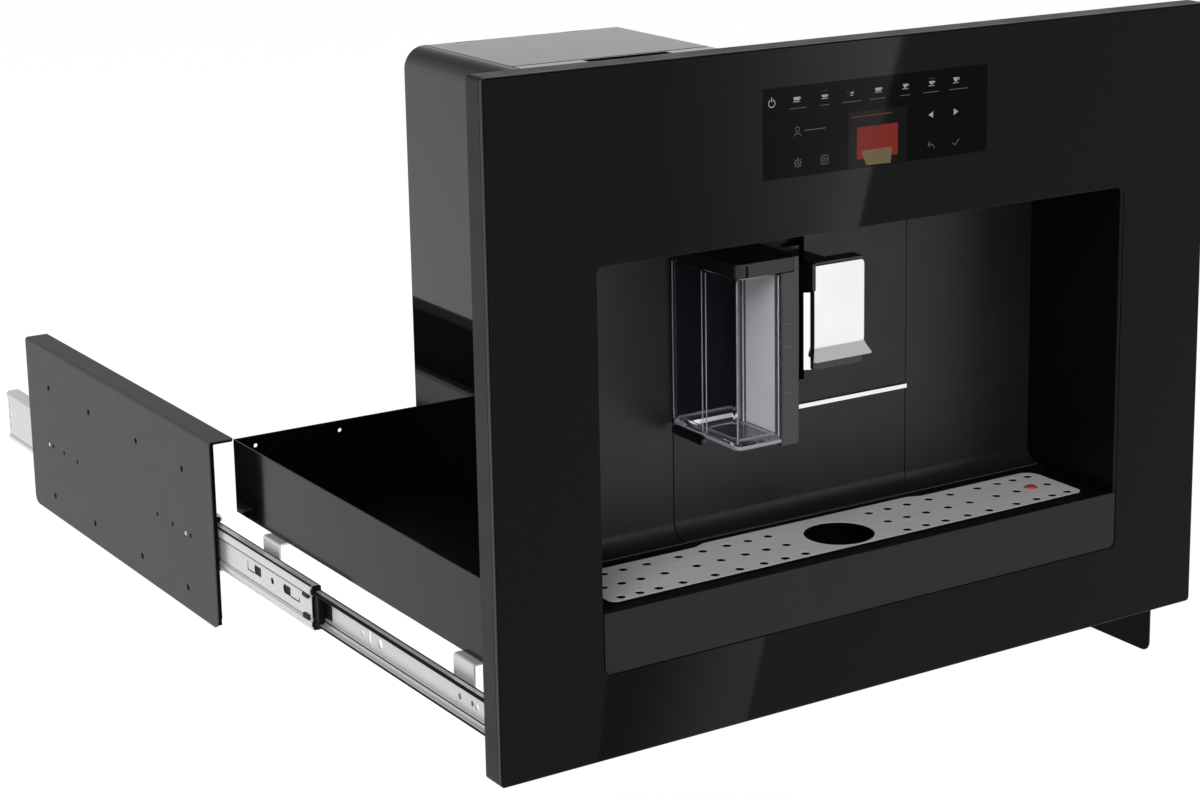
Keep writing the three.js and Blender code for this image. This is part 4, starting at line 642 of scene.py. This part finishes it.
# Painted shade: a black sheet under the steel grille darkens its holes.
piece("grille_hole_shade", grille((98.5, 99.5), 3.4), DEEP_BLACK_AND_SHADE, "grille")
piece("float_body", lathe([
    (8.4, 61.3), (9, 62), (9, 68.6), (8.2, 69.3), (2.5, 69.3), (2.5, 97), (4.5, 97.2),
    (4.5, 99.9), (4.1, 100.6), (3.2, 100.95), (0.6, 101),
], (*FLOAT, 0)), RED, "float", ["float_indicator"])


# ------------------------------------------------------------------ coffee spout

COVER_HALF = 21.5
COVER_HEIGHTS = [
    294.5, 294.2, 293.4, 292.2, 290, 270, 250, 237.6, 237.35, 237.0, 236.75, 236, 234, 232, 230,
    229, 228.4, 228, 227.7,
]
LIP_TOP, LIP_HEIGHT = 237.2, 9.5
GROOVE, GROOVE_DEPTH = (236.9, 237.4), 0.35


def rounding(share):
    """How far the edge has moved in, as a part of the radius, at a share of a round corner."""
    return 1 - math.sqrt(max(0.0, 1 - max(0.0, share) ** 2))


def spout_plate():
    """The cover: a flat plate with a groove above a lip that leans forward and flares out."""
    rows = []
    for z in COVER_HEIGHTS:
        down = max(0.0, (LIP_TOP - z) / LIP_HEIGHT)
        foot = 2.2 * rounding((229.7 - z) / 2)
        left = -COVER_HALF - 3.6 * down + foot
        right = COVER_HALF + 5 * down ** 1.5 - foot - 3 * rounding((z - 291.5) / 3)
        middle = (left + right) / 2
        front = 44.2 - 4 * down + (GROOVE_DEPTH if GROOVE[0] < z < GROOVE[1] else 0.0)
        back = 45.6 - 4 * down
        rows.append([
            (left, front + 0.4, z), (left + 0.4, front, z), (left / 2, front, z),
            (middle, front, z), (right / 2, front, z), (right - 0.4, front, z),
            (right, front + 0.4, z), (right, back - 0.3, z), (right - 0.3, back, z),
            (middle, back, z), (left + 0.3, back, z), (left, back - 0.3, z),
        ])
    return lofted(rows)


piece("spout_plate", spout_plate(), CHROME, "spout", ["spout_cover"], angle=16)
piece("spout_block", joined(
    block((-21.5, 21.5), (46, 58), (276, 295.4), edge=0.8),
    block((-23.4, -20.4), (43.4, 58), (277.4, 296.6)),
    # Painted shade: a black strip in the gap beside the core.
    block((-21.1, -19.5), (46.2, 49.6), (221.5, 277), edge=0.3),
), BLACK, "spout", ["spout_head"])
piece("spout_cap", block((-20.2, 21.3), (45, 58), (295.0, 296.8)), GREY, "spout")
piece("spout_core", block((-19.7, 21.2), (46.3, 60.6), (220.6, 275.8)), GREY, "spout")
piece("spout_tube", extruded([[
    (-21.5, 49.1), (-20, 49.1), (-20, 57.2), (-21.8, 57.2), (-25.2, 52.4), (-25.2, 51.25),
]], "z", (220.8, 275.6), edge=0.2), CHROME, "spout", ["spout_sleeve"])
dress("spout_carriage", BLACK, edge=1.2, segments=3)
dress("spout_guide", BLACK, edge=0.5)


# ------------------------------------------------------------------ milk carafe

CARAFE_FOOT, CARAFE_FLOOR, CARAFE_RIM = 184, 190, 301
CARAFE_PLAN = [
    *arc(-97, 24, 6, 180, 270), (-67.5, 18), (-67.5, 60.4), (-52, 60.4),
    *arc(-54, 97.5, 2, 0, 90, 4), *arc(-97, 93.5, 6, 90, 180),
]
CARAFE_ROOM = [
    *arc(-97, 24, 3.8, 180, 270), (-69.7, 20.2), (-69.7, 62.6), (-54.2, 62.6), (-54.2, 97.3),
    *arc(-97, 93.5, 3.8, 90, 180),
]
# Painted highlights: light lines up the carafe's corners and across its floor.
UPRIGHT_HIGHLIGHTS = [(-101.6, 19.8), (-102.3, 55.6), (-102.3, 60.4), (-69.2, 19.0), (-101.6, 97.8)]
FLOOR_HIGHLIGHTS = [
    ((-99, -71), (22.5, 23.3)), ((-99, -98.2), (24, 92)), ((-99, -56), (94.2, 95)),
    ((-96, -72), (60, 60.8)),
]
MARKS = (266, 250, 218)

carafe = piece("carafe_shell", joined(
    extruded([CARAFE_PLAN, CARAFE_ROOM], "z", (CARAFE_FLOOR, CARAFE_RIM), edge=0.4),
    extruded([CARAFE_PLAN], "z", (CARAFE_FOOT, CARAFE_FLOOR), edge=1.4, rounds=3),
), CLEAR, "carafe", ["carafe_body"])
carafe.visible_shadow = False
# Painted highlight: a frosted rim for the light edges of the carafe's base.
piece("carafe_base_highlight", extruded([CARAFE_PLAN, CARAFE_ROOM], "z", (CARAFE_FOOT, 186.7), edge=0.8),
      FROSTED_HIGHLIGHT, "carafe")
# Painted highlights: frosted rods up the carafe's corners and strips across its floor.
piece("carafe_edge_highlights", joined(
    *[
        lathe([(0.3, 188.6), (0.55, 189), (0.55, 299), (0.3, 299.4)], (x, y, 0), steps=10)
        for x, y in UPRIGHT_HIGHLIGHTS
    ],
    *[block(x, y, (190.1, 190.7), edge=0.1) for x, y in FLOOR_HIGHLIGHTS],
), FROSTED_HIGHLIGHT, "carafe")
piece("carafe_top", joined(
    extruded([[
        *arc(-97.5, 23.5, 5.5, 180, 270), (-57.3, 18), (-57.3, 60.8), (-52, 60.8),
        *arc(-57.5, 94, 5.5, 0, 90), *arc(-97.5, 94, 5.5, 90, 180),
    ]], "z", (301.3, 311.3), edge=0.6, rounds=3),
    extruded([rect((-99, -70.5), (30, 90))], "z", (298.5, 301.5), edge=0.4),
), BLACK, "carafe_cap", ["carafe_lid"])
# Painted shade: the lid's slot is a dark mark on its front face.
piece("carafe_lid_slot_shade", block((-95.8, -93.6), (17.9, 18.7), (301.6, 309.6), edge=0.1),
      SEAM_BLACK_AND_SHADE, "carafe_cap")
piece("carafe_handle_column", joined(
    extruded([rounded((-67, -52), (18, 60), [2, 2, 0.6, 0.6])], "z", (181.5, CARAFE_RIM),
             edge=0.6, rounds=3),
    extruded([rounded((-56.9, -52), (18, 60), [0.4, 2, 0.6, 0.6])], "z", (300, 311.2), edge=0.4),
), GREY, "carafe", ["carafe_column"])
# Painted shade: a dark sheet inside the carafe's rear wall darkens what is seen through the
# carafe.
piece("carafe_rear_painted_shade", block((-100.6, -55), (93.6, 94.1), (191, 298), edge=0.1), CARAFE_REAR_SHADE,
      "carafe")
piece("carafe_backing", block((-67.28, -67.02), (25.5, 59.5), (186, 300), edge=0.1),
      LIGHT_GREY, "carafe")
# Painted highlight: a frosted strip inside the carafe's rear corner for a light band.
piece("carafe_corner_highlight", block((-69.4, -69.0), (62.9, 70.5), (190.5, 298), edge=0.1), FROSTED_HIGHLIGHT,
      "carafe")
piece("carafe_marks", joined(*[
    block((-65.5, -58.5), (17.95, 18.1), (z - 0.45, z + 0.45), edge=0) for z in MARKS
]), MARK, "carafe")
piece("carafe_foot_bar", lathe([
    (0.3, 56), (2.0, 56.4), (3.1, 57.6), (3.6, 59.4), (3.6, 90.6), (3.1, 92.4), (2.0, 93.6),
    (0.3, 94),
], (-104, 0, 182.4), "y"), GLOSS, "carafe", ["carafe_foot"])
dress("milk_port", DEEP_BLACK_AND_SHADE, edge=0.3)


# ------------------------------------------------------------------ housing

SEAM_Z = (399.9, 400.06)
RECESS_X, RECESS_Y, RECESS_Z = (-24.8, 49.8), (301.2, 342.8), (389.3, 399.8)

piece("shell_left", extruded([[
    (-103, 48.8), *arc(-85, 382, 18, 180, 90, 20), *arc(-85, 382, 15, 90, 180, 20),
    (-100, 48.8),
]], "y", (103.3, 480), edge=0.4), GLOSS, "machine", ["housing_shell_left"])
piece("top_seams", joined(
    block((-85.4, -84.0), (110, 479), SEAM_Z, edge=0),
    block((-84.6, 90), (341.4, 343.6), SEAM_Z, edge=0),
), SEAM_BLACK_AND_SHADE, "machine")
# Painted shade: dark sheets line the floor and walls of the recess in the top.
piece("recess_painted_shade", joined(
    block(RECESS_X, RECESS_Y, (389.1, 389.4), edge=0),
    block(RECESS_X, (342.4, 342.7), RECESS_Z, edge=0),
    block(RECESS_X, (301.3, 301.6), RECESS_Z, edge=0),
    block((-24.8, -24.5), RECESS_Y, RECESS_Z, edge=0),
    block((49.5, 49.8), RECESS_Y, RECESS_Z, edge=0),
), SEAM_BLACK_AND_SHADE, "machine")
for node, material, edge in [
    ("housing_shell_right", GLOSS, 0.5), ("top_cover", GLOSS, 0.4), ("hopper_lid", LID_PAINTED_SHEEN, 0.3),
    ("front_cover", PAINT, 0.3), ("rear_cover", PAINT, 0.3), ("power_inlet", BLACK, 0.4),
    ("base_plate", CAST, 0.3), ("spine_plate", CAST, 0.3), ("grinder_motor", CAST, 0.8),
    ("inner_burr", STEEL, 0.4), ("outer_burr", STEEL, 0.4), ("grinder_case", BLACK, 0.6),
    ("bean_hopper", SMOKED, 0.5), ("brew_frame", BLACK, 0.6), ("brew_piston", BRASS, 0.5),
    ("heater", CAST, 0.8), ("water_pump", BLACK, 0.8), ("power_board", BOARD, 0.2),
    ("tank_seat", BLACK, 0.8), ("water_tank", SMOKED, 0.6), ("tank_lid", BLACK, 0.8),
]:
    dress(node, material, edge=edge)


# ------------------------------------------------------------------ carrier tray

TRAY_HOLES = [circle(x, 98, 1.7, 20) for x in (-240, -168, 168, 240)]
CUTOUT_HALF, CUTOUT_FOOT = 222.8, 54.7


def tray_sheets(half, y, z, side, rear, floor, front, edge):
    """The tray's two sides, rear wall, floor and cut-out front, from their spans."""
    low, high = z
    outline = [
        (-half, low), (half, low), (half, high), (CUTOUT_HALF, high), (CUTOUT_HALF, CUTOUT_FOOT),
        (-CUTOUT_HALF, CUTOUT_FOOT), (-CUTOUT_HALF, high), (-half, high),
    ]
    return joined(
        extruded([rect(y, z)], "x", (-side[1], -side[0]), edge=edge),
        extruded([rect(y, z)], "x", side, edge=edge),
        extruded([rect((-half, half), z), *TRAY_HOLES], "y", rear, edge=edge),
        extruded([rect((-half, half), y)], "z", floor, edge=edge),
        extruded([outline], "y", front, edge=edge),
    )


piece("tray_outside", tray_sheets(
    257.8, (20.5, 487), (47, 106), side=(257.2, 258), rear=(486.2, 487), floor=(47, 47.8),
    front=(20.4, 21.1), edge=0.2,
), PAINT_GLOSS, "machine", ["carrier_tray"])
# Painted shade: the tray's inner faces in a duller, darker black than its outside.
piece("tray_painted_shade", tray_sheets(
    257, (21, 486), (47.9, 105.9), side=(256.5, 257.15), rear=(485.5, 486.15),
    floor=(47.85, 48.5), front=(21.15, 21.8), edge=0.1,
), SEAM_BLACK_AND_SHADE, "machine")


# ------------------------------------------------------------------ slides and plates

RAIL_AXIS = 20
INNER_Y = (40, 490)
MIDDLE_FRONT, MIDDLE_LENGTH, WEB_FACE = 92, 400, 274.15
OUTER_SETBACK, OUTER_LENGTH = 15, 450
PLATE_FRONT, PLATE_LENGTH, PLATE_TOP, PLATE_FACE = 23, 400, 108, 280
TRAVEL = 460
BRACKET_WIDTH, BRACKET_FRONT, BRACKET_REAR = 28, 94, 396
FIXING_COLUMNS, FIXING_ROWS = (57, 151, 255, 349), (35.5, 134.5)
SLIDE_COLUMNS = (46, 82, 113, 289, 320, 346)
RIVET_COLUMNS, RIVET_HEIGHT = (56.5, 356), 19.2
RIVET = [(2.1, 0), (2.1, 1.2), (1.8, 1.6), (1.1, 1.6), (0.9, 1.1), (0.1, 1.0)]
BALL = [
    (0.02, -1.9), (0.73, -1.76), (1.34, -1.34), (1.76, -0.73), (1.9, 0), (1.76, 0.73),
    (1.34, 1.34), (0.73, 1.76), (0.02, 1.9),
]
BALL_X, BALL_PITCH, BALL_COUNT = 270.2, 9, 16
TABS = ((6.6, 13.6), (26.4, 33.4))
SLOT_LINES = [
    ((99.6, 111.6), (18.0, 19.1)), ((110.5, 111.6), (19.0, 25.4)),
    ((20.2, 35.4), (18.2, 19.3)), ((20.2, 21.3), (19.2, 22.4)),
]


# In this part a side is -1 for the left and 1 for the right, and a section's points are
# (distance outward, height).

def mirrored(side, points):
    return [(side * a, b) for a, b in points]


def flipped(section):
    """A section turned over about the rail's axis, in the opposite order."""
    return [(a, 2 * RAIL_AXIS - b) for a, b in reversed(section)]


def across(side, loops, low, high, edge=0.1):
    """A flat sheet between two distances outward."""
    return extruded(loops, "x", sorted((side * low, side * high)), edge=edge)


def along(side, section, y, edge=0.05):
    """A bar along Y."""
    return extruded([mirrored(side, section)], "y", y, edge=edge)


def strip(side, path, width, y):
    """A bent strip along Y, with its thickness laid to the left of a path."""
    return along(side, thick(path, width), y, edge=0.12)


def inner_rail(side):
    upper = [(265.7, 27.8), (265.7, 29.2), (267.9, 31.9), (271.6, 31.9), (272.7, 31.0)]
    holes = [
        circle(255.7, 19.7, 2.3), oblong(244.6, 19.6, 11, 4.2, 90), circle(228, 19.9, 3.6),
        circle(111.6, 18.8, 2.3), circle(94.2, 19.2, 2.1), circle(87.6, 18.9, 2.4),
        circle(420, 20, 2.4), oblong(446, 20, 12, 4), circle(470, 20, 2.4),
    ]
    return joined(
        across(side, [rect(INNER_Y, (11.5, 28.5)), *holes], 265.3, 266.3, edge=0.15),
        strip(side, upper, 1.1, INNER_Y), strip(side, flipped(upper), 1.1, INNER_Y),
    )


def middle_rail(side, front):
    y = (front, front + MIDDLE_LENGTH)
    upper = [
        (274.1, 28.2), (274.3, 29.4), (275.5, 30.4), (275.5, 34.2), (273.6, 37.2), (267.6, 37.2),
    ]
    holes = [
        rect((front + 87.4, front + 99.4), (18.3, 25.6)), circle(front + 67.6, 21.4, 2.6),
        rounded((front + 35.6, front + 48.4), (18.4, 25.4), [0.4, 3, 3, 0.4]),
        circle(front + 200, 20, 2.4), oblong(front + 250, 20, 14, 4), circle(front + 360, 20, 2.4),
    ]
    return joined(
        across(side, [rect(y, (11.2, 28.8)), *holes], 273.6, 274.2),
        strip(side, upper, 1.2, y), strip(side, flipped(upper), 1.2, y),
    )


def outer_rail(side, front):
    back = front + OUTER_LENGTH
    y = (front, back)
    upper = [
        (277.3, 38), (277.3, 40.4), (275.6, 42.0), (268.0, 42.0), (266.7, 40.0), (267.0, 38.2),
    ]
    holes = [
        circle(back - 2.8, 29.2, 1.7), circle(back - 4.4, 20.9, 2.8),
        circle(back - 3.4, 11.8, 1.7), circle(front + 41.5, 19.2, 2.2),
        circle(front + 341, 19.2, 2.2),
    ]
    return joined(
        across(side, [rect(y, (1.9, 38.1)), *holes], 276.4, 277.3),
        strip(side, upper, -1.2, y), strip(side, flipped(upper), -1.2, y),
    )


def stops(side, front):
    """The middle rail's plastic: an end stop with two snap tabs, the lining behind the web's
    slots and the two L-shaped lines beside them."""
    mouth = (front - 1.6, front + 14)

    def inset(loop, depth):
        return across(side, [loop], 273.5, WEB_FACE + depth, edge=0.06)

    return joined(
        along(side, rounded((266.6, 273.4), (2.9, 11.2), 1.2), mouth, edge=0.5),
        along(side, rounded((266.6, 273.4), (28.8, 37.0), 1.2), mouth, edge=0.5),
        along(side, rounded((270.6, 273.4), (9, 31), 1), (front + 1, front + 6), edge=0.4),
        *[inset(rounded((front + 3.4, front + 13.4), z, 1.2), 1.2) for z in TABS],
        *[inset(rect((front + a, front + b), z), 0.1) for (a, b), z in SLOT_LINES],
        across(side, [rect((front + 30, front + 104), (14, 30))], 272.9, 273.3),
    )


def inner_rail_shade(side):
    """Painted shade on the inner rail: dark strips on its upper flange, round both lips and in the
    lower bend.
    """
    lip = [
        (271.7, 32.9), (272.0, 32.9), (273.3, 31.85), (272.6, 30.9), (272.8, 30.75),
        (273.6, 31.85), (272.15, 33.12), (271.7, 33.12),
    ]
    shade_strips = [
        rect((266.9, 268.2), (32.7, 33.12)), rect((266.4, 267.0), (9.7, 10.3)), lip,
        flipped(lip[2:]),
    ]
    return joined(*[along(side, loop, inner(INNER_Y, 0.4)) for loop in shade_strips])


def middle_rail_shade(side, front):
    """Painted shade on the middle rail: dark strips along its top edges and in the creases beside
    its web.
    """
    crease = [(274.5, 29.05), (275.65, 30.0), (275.75, 30.5), (275.5, 30.5), (274.35, 29.45)]
    shoulder = [
        (273.2, 37.15), (273.6, 37.15), (274.2, 36.2), (274.4, 36.3), (273.75, 37.35),
        (273.2, 37.35),
    ]
    shade_strips = [
        rect((267.7, 268.7), (37.0, 37.35)), shoulder, crease,
        rect((274.1, 274.4), (11.3, 11.65)),
    ]
    y = inner((front, front + MIDDLE_LENGTH), 0.4)
    return joined(*[along(side, loop, y, edge=0.04) for loop in shade_strips])


def inner_cage_and_shade(side, front):
    """The end of the ball cage in the inner rail, just outside the middle rail's mouth, and
    painted shade: a thin dark strip on the rail's web ahead of it.
    """
    section = [
        (266.8, 13.4), (266.8, 26.6), (268.7, 30.8), (272.3, 30.8), (272.3, 9.2), (268.7, 9.2),
    ]
    return joined(
        along(side, section, (front - 7.5, front + 1.4), edge=0.5),
        # Painted shade: a thin dark strip on the rail's web ahead of the cage.
        along(side, rect((266.45, 266.7), (13.2, 26.8)), (front - 17.5, front - 7)),
    )


def outer_mouth_shade(side, front):
    """Painted shade: two dark strips in the outer rail's mouth, at the heights where its ball
    cages run.
    """
    return joined(*[
        along(side, rect((267.6, 275.8), z), (front + 14.2, front + 60))
        for z in ((37.7, 40.5), (-0.5, 2.3))
    ])


def balls(side, start, heights):
    """Two rows of bearing balls."""
    return [
        lathe(BALL, (side * BALL_X, start + BALL_PITCH * i, z), steps=12)
        for i in range(BALL_COUNT) for z in heights
    ]


def bracket(side, front):
    """A sheet tab from under the tray down to the inner rail, bent round at the top."""
    path = [(264.7, 12), *arc(262.4, 44.4, 2.3, 0, 90), (241, 46.7)]
    return along(side, thick(path, 1.6), (front, front + BRACKET_WIDTH), edge=0.3)


def plate_holes(front, less=0.0):
    """The fixing holes, the slide's holes and the rivets' holes, smaller by a given radius."""
    return [
        *[circle(front + column, PLATE_TOP - row, 2.6 - less, 20)
          for row in FIXING_ROWS for column in FIXING_COLUMNS],
        *[circle(front + column, RAIL_AXIS, 2.0 - less, 16) for column in SLIDE_COLUMNS],
        *[circle(front + column, RIVET_HEIGHT, 2.9 - less, 16) for column in RIVET_COLUMNS],
    ]


def plate(side, front):
    """The fixing plate: a drilled sheet whose top edge is bent inward."""
    y = (front, front + PLATE_LENGTH)
    outline = rounded(y, (-45, 105.6), [8, 8, 0.2, 0.2])
    bend = [
        (PLATE_FACE, 105.4), *arc(277.4, 105.4, 2.6, 0, 90), (260, PLATE_TOP), (260, 106.9),
        (278.8, 106.9), (278.8, 105.4),
    ]
    return joined(
        across(side, [outline, *plate_holes(front)], 279.1, PLATE_FACE, edge=0.3),
        along(side, bend, y, edge=0.3),
    )


def plate_painted_shade(side, front):
    """Painted shade: the plate's inner face, the underside of its bent top and a band down its
    front edge, in black.
    """
    outline = rounded(
        inner((front, front + PLATE_LENGTH), 0.6), (-44.4, 106.2), [7.4, 7.4, 0.2, 0.2],
    )
    return joined(
        across(side, [outline, *plate_holes(front, less=1.4)], 278, 279.05),
        *[along(side, rect(x, z), (front + a, front + b), edge=0.1) for x, z, (a, b) in (
            ((260.4, 278.6), (105.4, 106.85), (0.2, 399.4)),
            ((276.2, 278.9), (-36.6, 106), (0.1, 1.2)),
            ((276.2, 278.9), (-42, -36.4), (1.1, 2.6)),
        )],
    )


def rivets(side, front):
    profile = [(radius, side * (278.2 + height)) for radius, height in RIVET]
    return joined(*[
        lathe(profile, (0, front + column, RIVET_HEIGHT), "x", 16) for column in RIVET_COLUMNS
    ])


for name, side, pulled in (("left", -1, TRAVEL), ("right", 1, 0)):
    middle, fixed = f"{name}_middle", f"{name}_plate"
    start, back = MIDDLE_FRONT + pulled / 2, PLATE_FRONT + pulled
    for part, mesh, material, body, slot, node in (
        ("rail_inner", inner_rail(side), ZINC, "machine", "zinc", "inner_rail"),
        ("rail_middle", middle_rail(side, start), ZINC, middle, "zinc", "middle_rail"),
        ("rail_stop", stops(side, start), DEEP_BLACK_AND_SHADE, middle, "black_plastic", None),
        ("rail_balls", joined(
            *balls(side, start + 24, (34.1, 5.9)), *balls(side, start + 252, (39.3, 0.7)),
        ), ZINC, middle, "zinc", None),
        ("inner_shade", inner_rail_shade(side), DEEP_BLACK_AND_SHADE, "machine", "zinc", None),
        ("middle_rail_shade", middle_rail_shade(side, start), DEEP_BLACK_AND_SHADE, middle, "zinc", None),
        ("cage_end_and_shade", inner_cage_and_shade(side, start), DEEP_BLACK_AND_SHADE, middle, "black_plastic", None),
        ("rail_mouth_shade", outer_mouth_shade(side, back), DEEP_BLACK_AND_SHADE, fixed, "zinc", None),
        ("rail_outer", outer_rail(side, back + OUTER_SETBACK), ZINC, fixed, "zinc", "outer_rail"),
        ("fixing_plate", plate(side, back), PAINT, fixed, "sheet_paint", "mount_plate"),
        ("plate_painted_shade", plate_painted_shade(side, back), SEAM_BLACK_AND_SHADE, fixed, "sheet_paint", None),
        ("rivets", rivets(side, back), ZINC, fixed, "zinc", None),
        ("bracket_front", bracket(side, BRACKET_FRONT), ZINC, "machine", "zinc", "hanger_front"),
        ("bracket_rear", bracket(side, BRACKET_REAR), ZINC, "machine", "zinc", "hanger_rear"),
    ):
        piece(f"{name}_{part}", mesh, material, body, [f"{name}_{node}"] if node else ())


# ------------------------------------------------------------------ camera

FOCAL_PIXELS, IMAGE_WIDTH, SENSOR = 2697, 1200, 36
EYE = Vector((-1.066, -1.424, 0.688))
YAW, PITCH, ROLL = 35.58, 13.32, -0.04


def look(yaw, pitch, roll):
    """A camera's axes, turned to the right, down and round its own axis by degrees."""
    yaw, pitch, roll = (math.radians(a) for a in (yaw, pitch, roll))
    level = math.cos(pitch)
    ahead = Vector((math.sin(yaw) * level, math.cos(yaw) * level, -math.sin(pitch)))
    right = Vector((math.cos(yaw), -math.sin(yaw), 0))
    up = right.cross(ahead)
    right, up = (
        right * math.cos(roll) + up * math.sin(roll),
        up * math.cos(roll) - right * math.sin(roll),
    )
    return Matrix((right, up, -ahead)).transposed()


camera_data = bpy.data.cameras.new("camera")
camera = bpy.data.objects.new("camera", camera_data)
bpy.context.scene.collection.objects.link(camera)
camera_data.sensor_width = SENSOR
camera_data.lens = FOCAL_PIXELS / IMAGE_WIDTH * SENSOR
camera_data.shift_x = -0.17
camera_data.shift_y = -0.10
camera.matrix_world = Matrix.Translation(EYE) @ look(YAW, PITCH, ROLL).to_4x4()
bpy.context.scene.camera = camera


# ------------------------------------------------------------------ studio

WHITE = (1, 1, 1, 1)
AMBIENT = 0.28
FLOOR, FLOOR_HALF = -0.30, 14
SOFTBOX_TOP, SOFTBOX_FOOT = 545, -20
REACH_TOP, REACH_FOOT = 1.3, 0.36


def emptied(owner):
    """The node tree of a material or world, with nothing in it."""
    owner.use_nodes = True
    owner.node_tree.nodes.clear()
    return owner.node_tree


def seen_directly(tree):
    """1 for rays from the camera, and for reflected and refracted ones."""
    path = add(tree, "ShaderNodeLightPath")
    seen = path.outputs["Is Camera Ray"]
    for ray in ("Is Glossy Ray", "Is Transmission Ray"):
        most = add(tree, "ShaderNodeMath", operation="MAXIMUM")
        tree.links.new(seen, most.inputs[0])
        tree.links.new(path.outputs[ray], most.inputs[1])
        seen = most.outputs[0]
    return seen


def blended(tree, share, first, second, end):
    """Ends a tree in a blend of two shaders."""
    blend = add(tree, "ShaderNodeMixShader")
    tree.links.new(share, blend.inputs[0])
    tree.links.new(first.outputs[0], blend.inputs[1])
    tree.links.new(second.outputs[0], blend.inputs[2])
    tree.links.new(blend.outputs[0], add(tree, end).inputs[0])


def studio_world():
    """Even light. Gloss sees a studio that is white at the horizon and dark overhead."""
    world = bpy.data.worlds.new("studio")
    tree = emptied(world)
    ambient = add(tree, "ShaderNodeBackground", {"Color": WHITE, "Strength": AMBIENT})
    backdrop = add(tree, "ShaderNodeBackground", {"Color": WHITE})
    path = add(tree, "ShaderNodeLightPath")
    place = add(tree, "ShaderNodeTexCoord")
    split = add(tree, "ShaderNodeSeparateXYZ")
    ceiling = add(tree, "ShaderNodeMapRange", {
        "From Min": 0.10, "From Max": 0.60, "To Min": 1.0, "To Max": 0.12,
    })
    level = add(tree, "ShaderNodeMix", {"A": 1.0})
    tree.links.new(place.outputs["Generated"], split.inputs[0])
    tree.links.new(split.outputs["Z"], ceiling.inputs["Value"])
    tree.links.new(path.outputs["Is Glossy Ray"], level.inputs["Factor"])
    tree.links.new(ceiling.outputs["Result"], level.inputs["B"])
    tree.links.new(level.outputs["Result"], backdrop.inputs["Strength"])
    blended(tree, seen_directly(tree), ambient, backdrop, "ShaderNodeOutputWorld")
    return world


def floor_finish():
    """A pale floor that shows nearly white, and keeps some of the part's shadow."""
    material = bpy.data.materials.new("floor")
    tree = emptied(material)
    pale = add(tree, "ShaderNodeBsdfDiffuse", {"Color": (0.8, 0.8, 0.8, 1)})
    lit = add(tree, "ShaderNodeEmission", {"Color": WHITE, "Strength": 1.18})
    share = add(tree, "ShaderNodeMath", {1: 0.8}, operation="MULTIPLY")
    tree.links.new(seen_directly(tree), share.inputs[0])
    blended(tree, share.outputs[0], pale, lit, "ShaderNodeOutputMaterial")
    return material


def softbox_finish():
    """Light that grows across the card and up it."""
    material = bpy.data.materials.new("softbox")
    tree = emptied(material)
    place = add(tree, "ShaderNodeTexCoord")
    split = add(tree, "ShaderNodeSeparateXYZ")
    width = add(tree, "ShaderNodeMapRange", {"To Min": 1.0, "To Max": 3.4})
    width.interpolation_type = "SMOOTHSTEP"
    height = add(tree, "ShaderNodeMapRange", {"To Min": 0.62, "To Max": 1.35})
    level = add(tree, "ShaderNodeMath", operation="MULTIPLY")
    glow = add(tree, "ShaderNodeEmission")
    end = add(tree, "ShaderNodeOutputMaterial")
    tree.links.new(place.outputs["UV"], split.inputs[0])
    tree.links.new(split.outputs["X"], width.inputs["Value"])
    tree.links.new(split.outputs["Y"], height.inputs["Value"])
    tree.links.new(width.outputs["Result"], level.inputs[0])
    tree.links.new(height.outputs["Result"], level.inputs[1])
    tree.links.new(level.outputs[0], glow.inputs["Strength"])
    tree.links.new(glow.outputs[0], end.inputs[0])
    return material


def sheet_object(name, corners, material):
    mesh = bpy.data.meshes.new(name)
    mesh.from_pydata([tuple(c) for c in corners], [], [(0, 1, 2, 3)])
    mesh.uv_layers.new(name="flat")
    mesh.materials.append(material)
    obj = bpy.data.objects.new(name, mesh)
    bpy.context.scene.collection.objects.link(obj)
    return obj


def mirror_point(x, z, reach):
    """Where the camera's ray reflected by the glass at (x, z) ends, so many lengths on."""
    eye = (EYE - ORIGIN) / MM
    eye.y = -eye.y
    point = Vector((x, 0, z))
    return (point + (point - eye) * reach) * MM + ORIGIN


def lamp(name, place, target, size, power):
    data = bpy.data.lights.new(name, "AREA")
    data.size = size
    data.energy = power
    obj = bpy.data.objects.new(name, data)
    bpy.context.scene.collection.objects.link(obj)
    obj.location = place
    obj.rotation_euler = (Vector(target) - Vector(place)).to_track_quat("-Z", "Y").to_euler()
    obj.visible_glossy = False


bpy.context.scene.world = studio_world()
sheet_object("floor", [
    (-FLOOR_HALF, -FLOOR_HALF, FLOOR), (FLOOR_HALF, -FLOOR_HALF, FLOOR),
    (FLOOR_HALF, FLOOR_HALF, FLOOR), (-FLOOR_HALF, FLOOR_HALF, FLOOR),
], floor_finish())

# A soft light whose reflection crosses the glass front, brightest along its right edge.
softbox = sheet_object("softbox", [
    mirror_point(-228.8, SOFTBOX_FOOT, REACH_FOOT), mirror_point(-115.4, SOFTBOX_FOOT, REACH_FOOT),
    mirror_point(44, SOFTBOX_TOP, REACH_TOP), mirror_point(-150, SOFTBOX_TOP, REACH_TOP),
], softbox_finish())
for loop, uv in zip(softbox.data.uv_layers[0].data, ((0, 0), (1, 0), (1, 1), (0, 1))):
    loop.uv = uv
softbox.visible_camera = False
softbox.visible_diffuse = False
softbox.visible_shadow = False
softbox.visible_transmission = False

lamp("key", (-2.2, -2.2, 2.6), (0, 0.2, 0.15), 2.0, 72)
lamp("front", (-1.1, -3.0, 0.5), (0, 0.0, 0.15), 1.6, 26)
lamp("back", (-1.5, 2.6, 1.8), (0, 0.4, 0.1), 1.6, 25)

bpy.context.scene.view_settings.view_transform = "Standard"
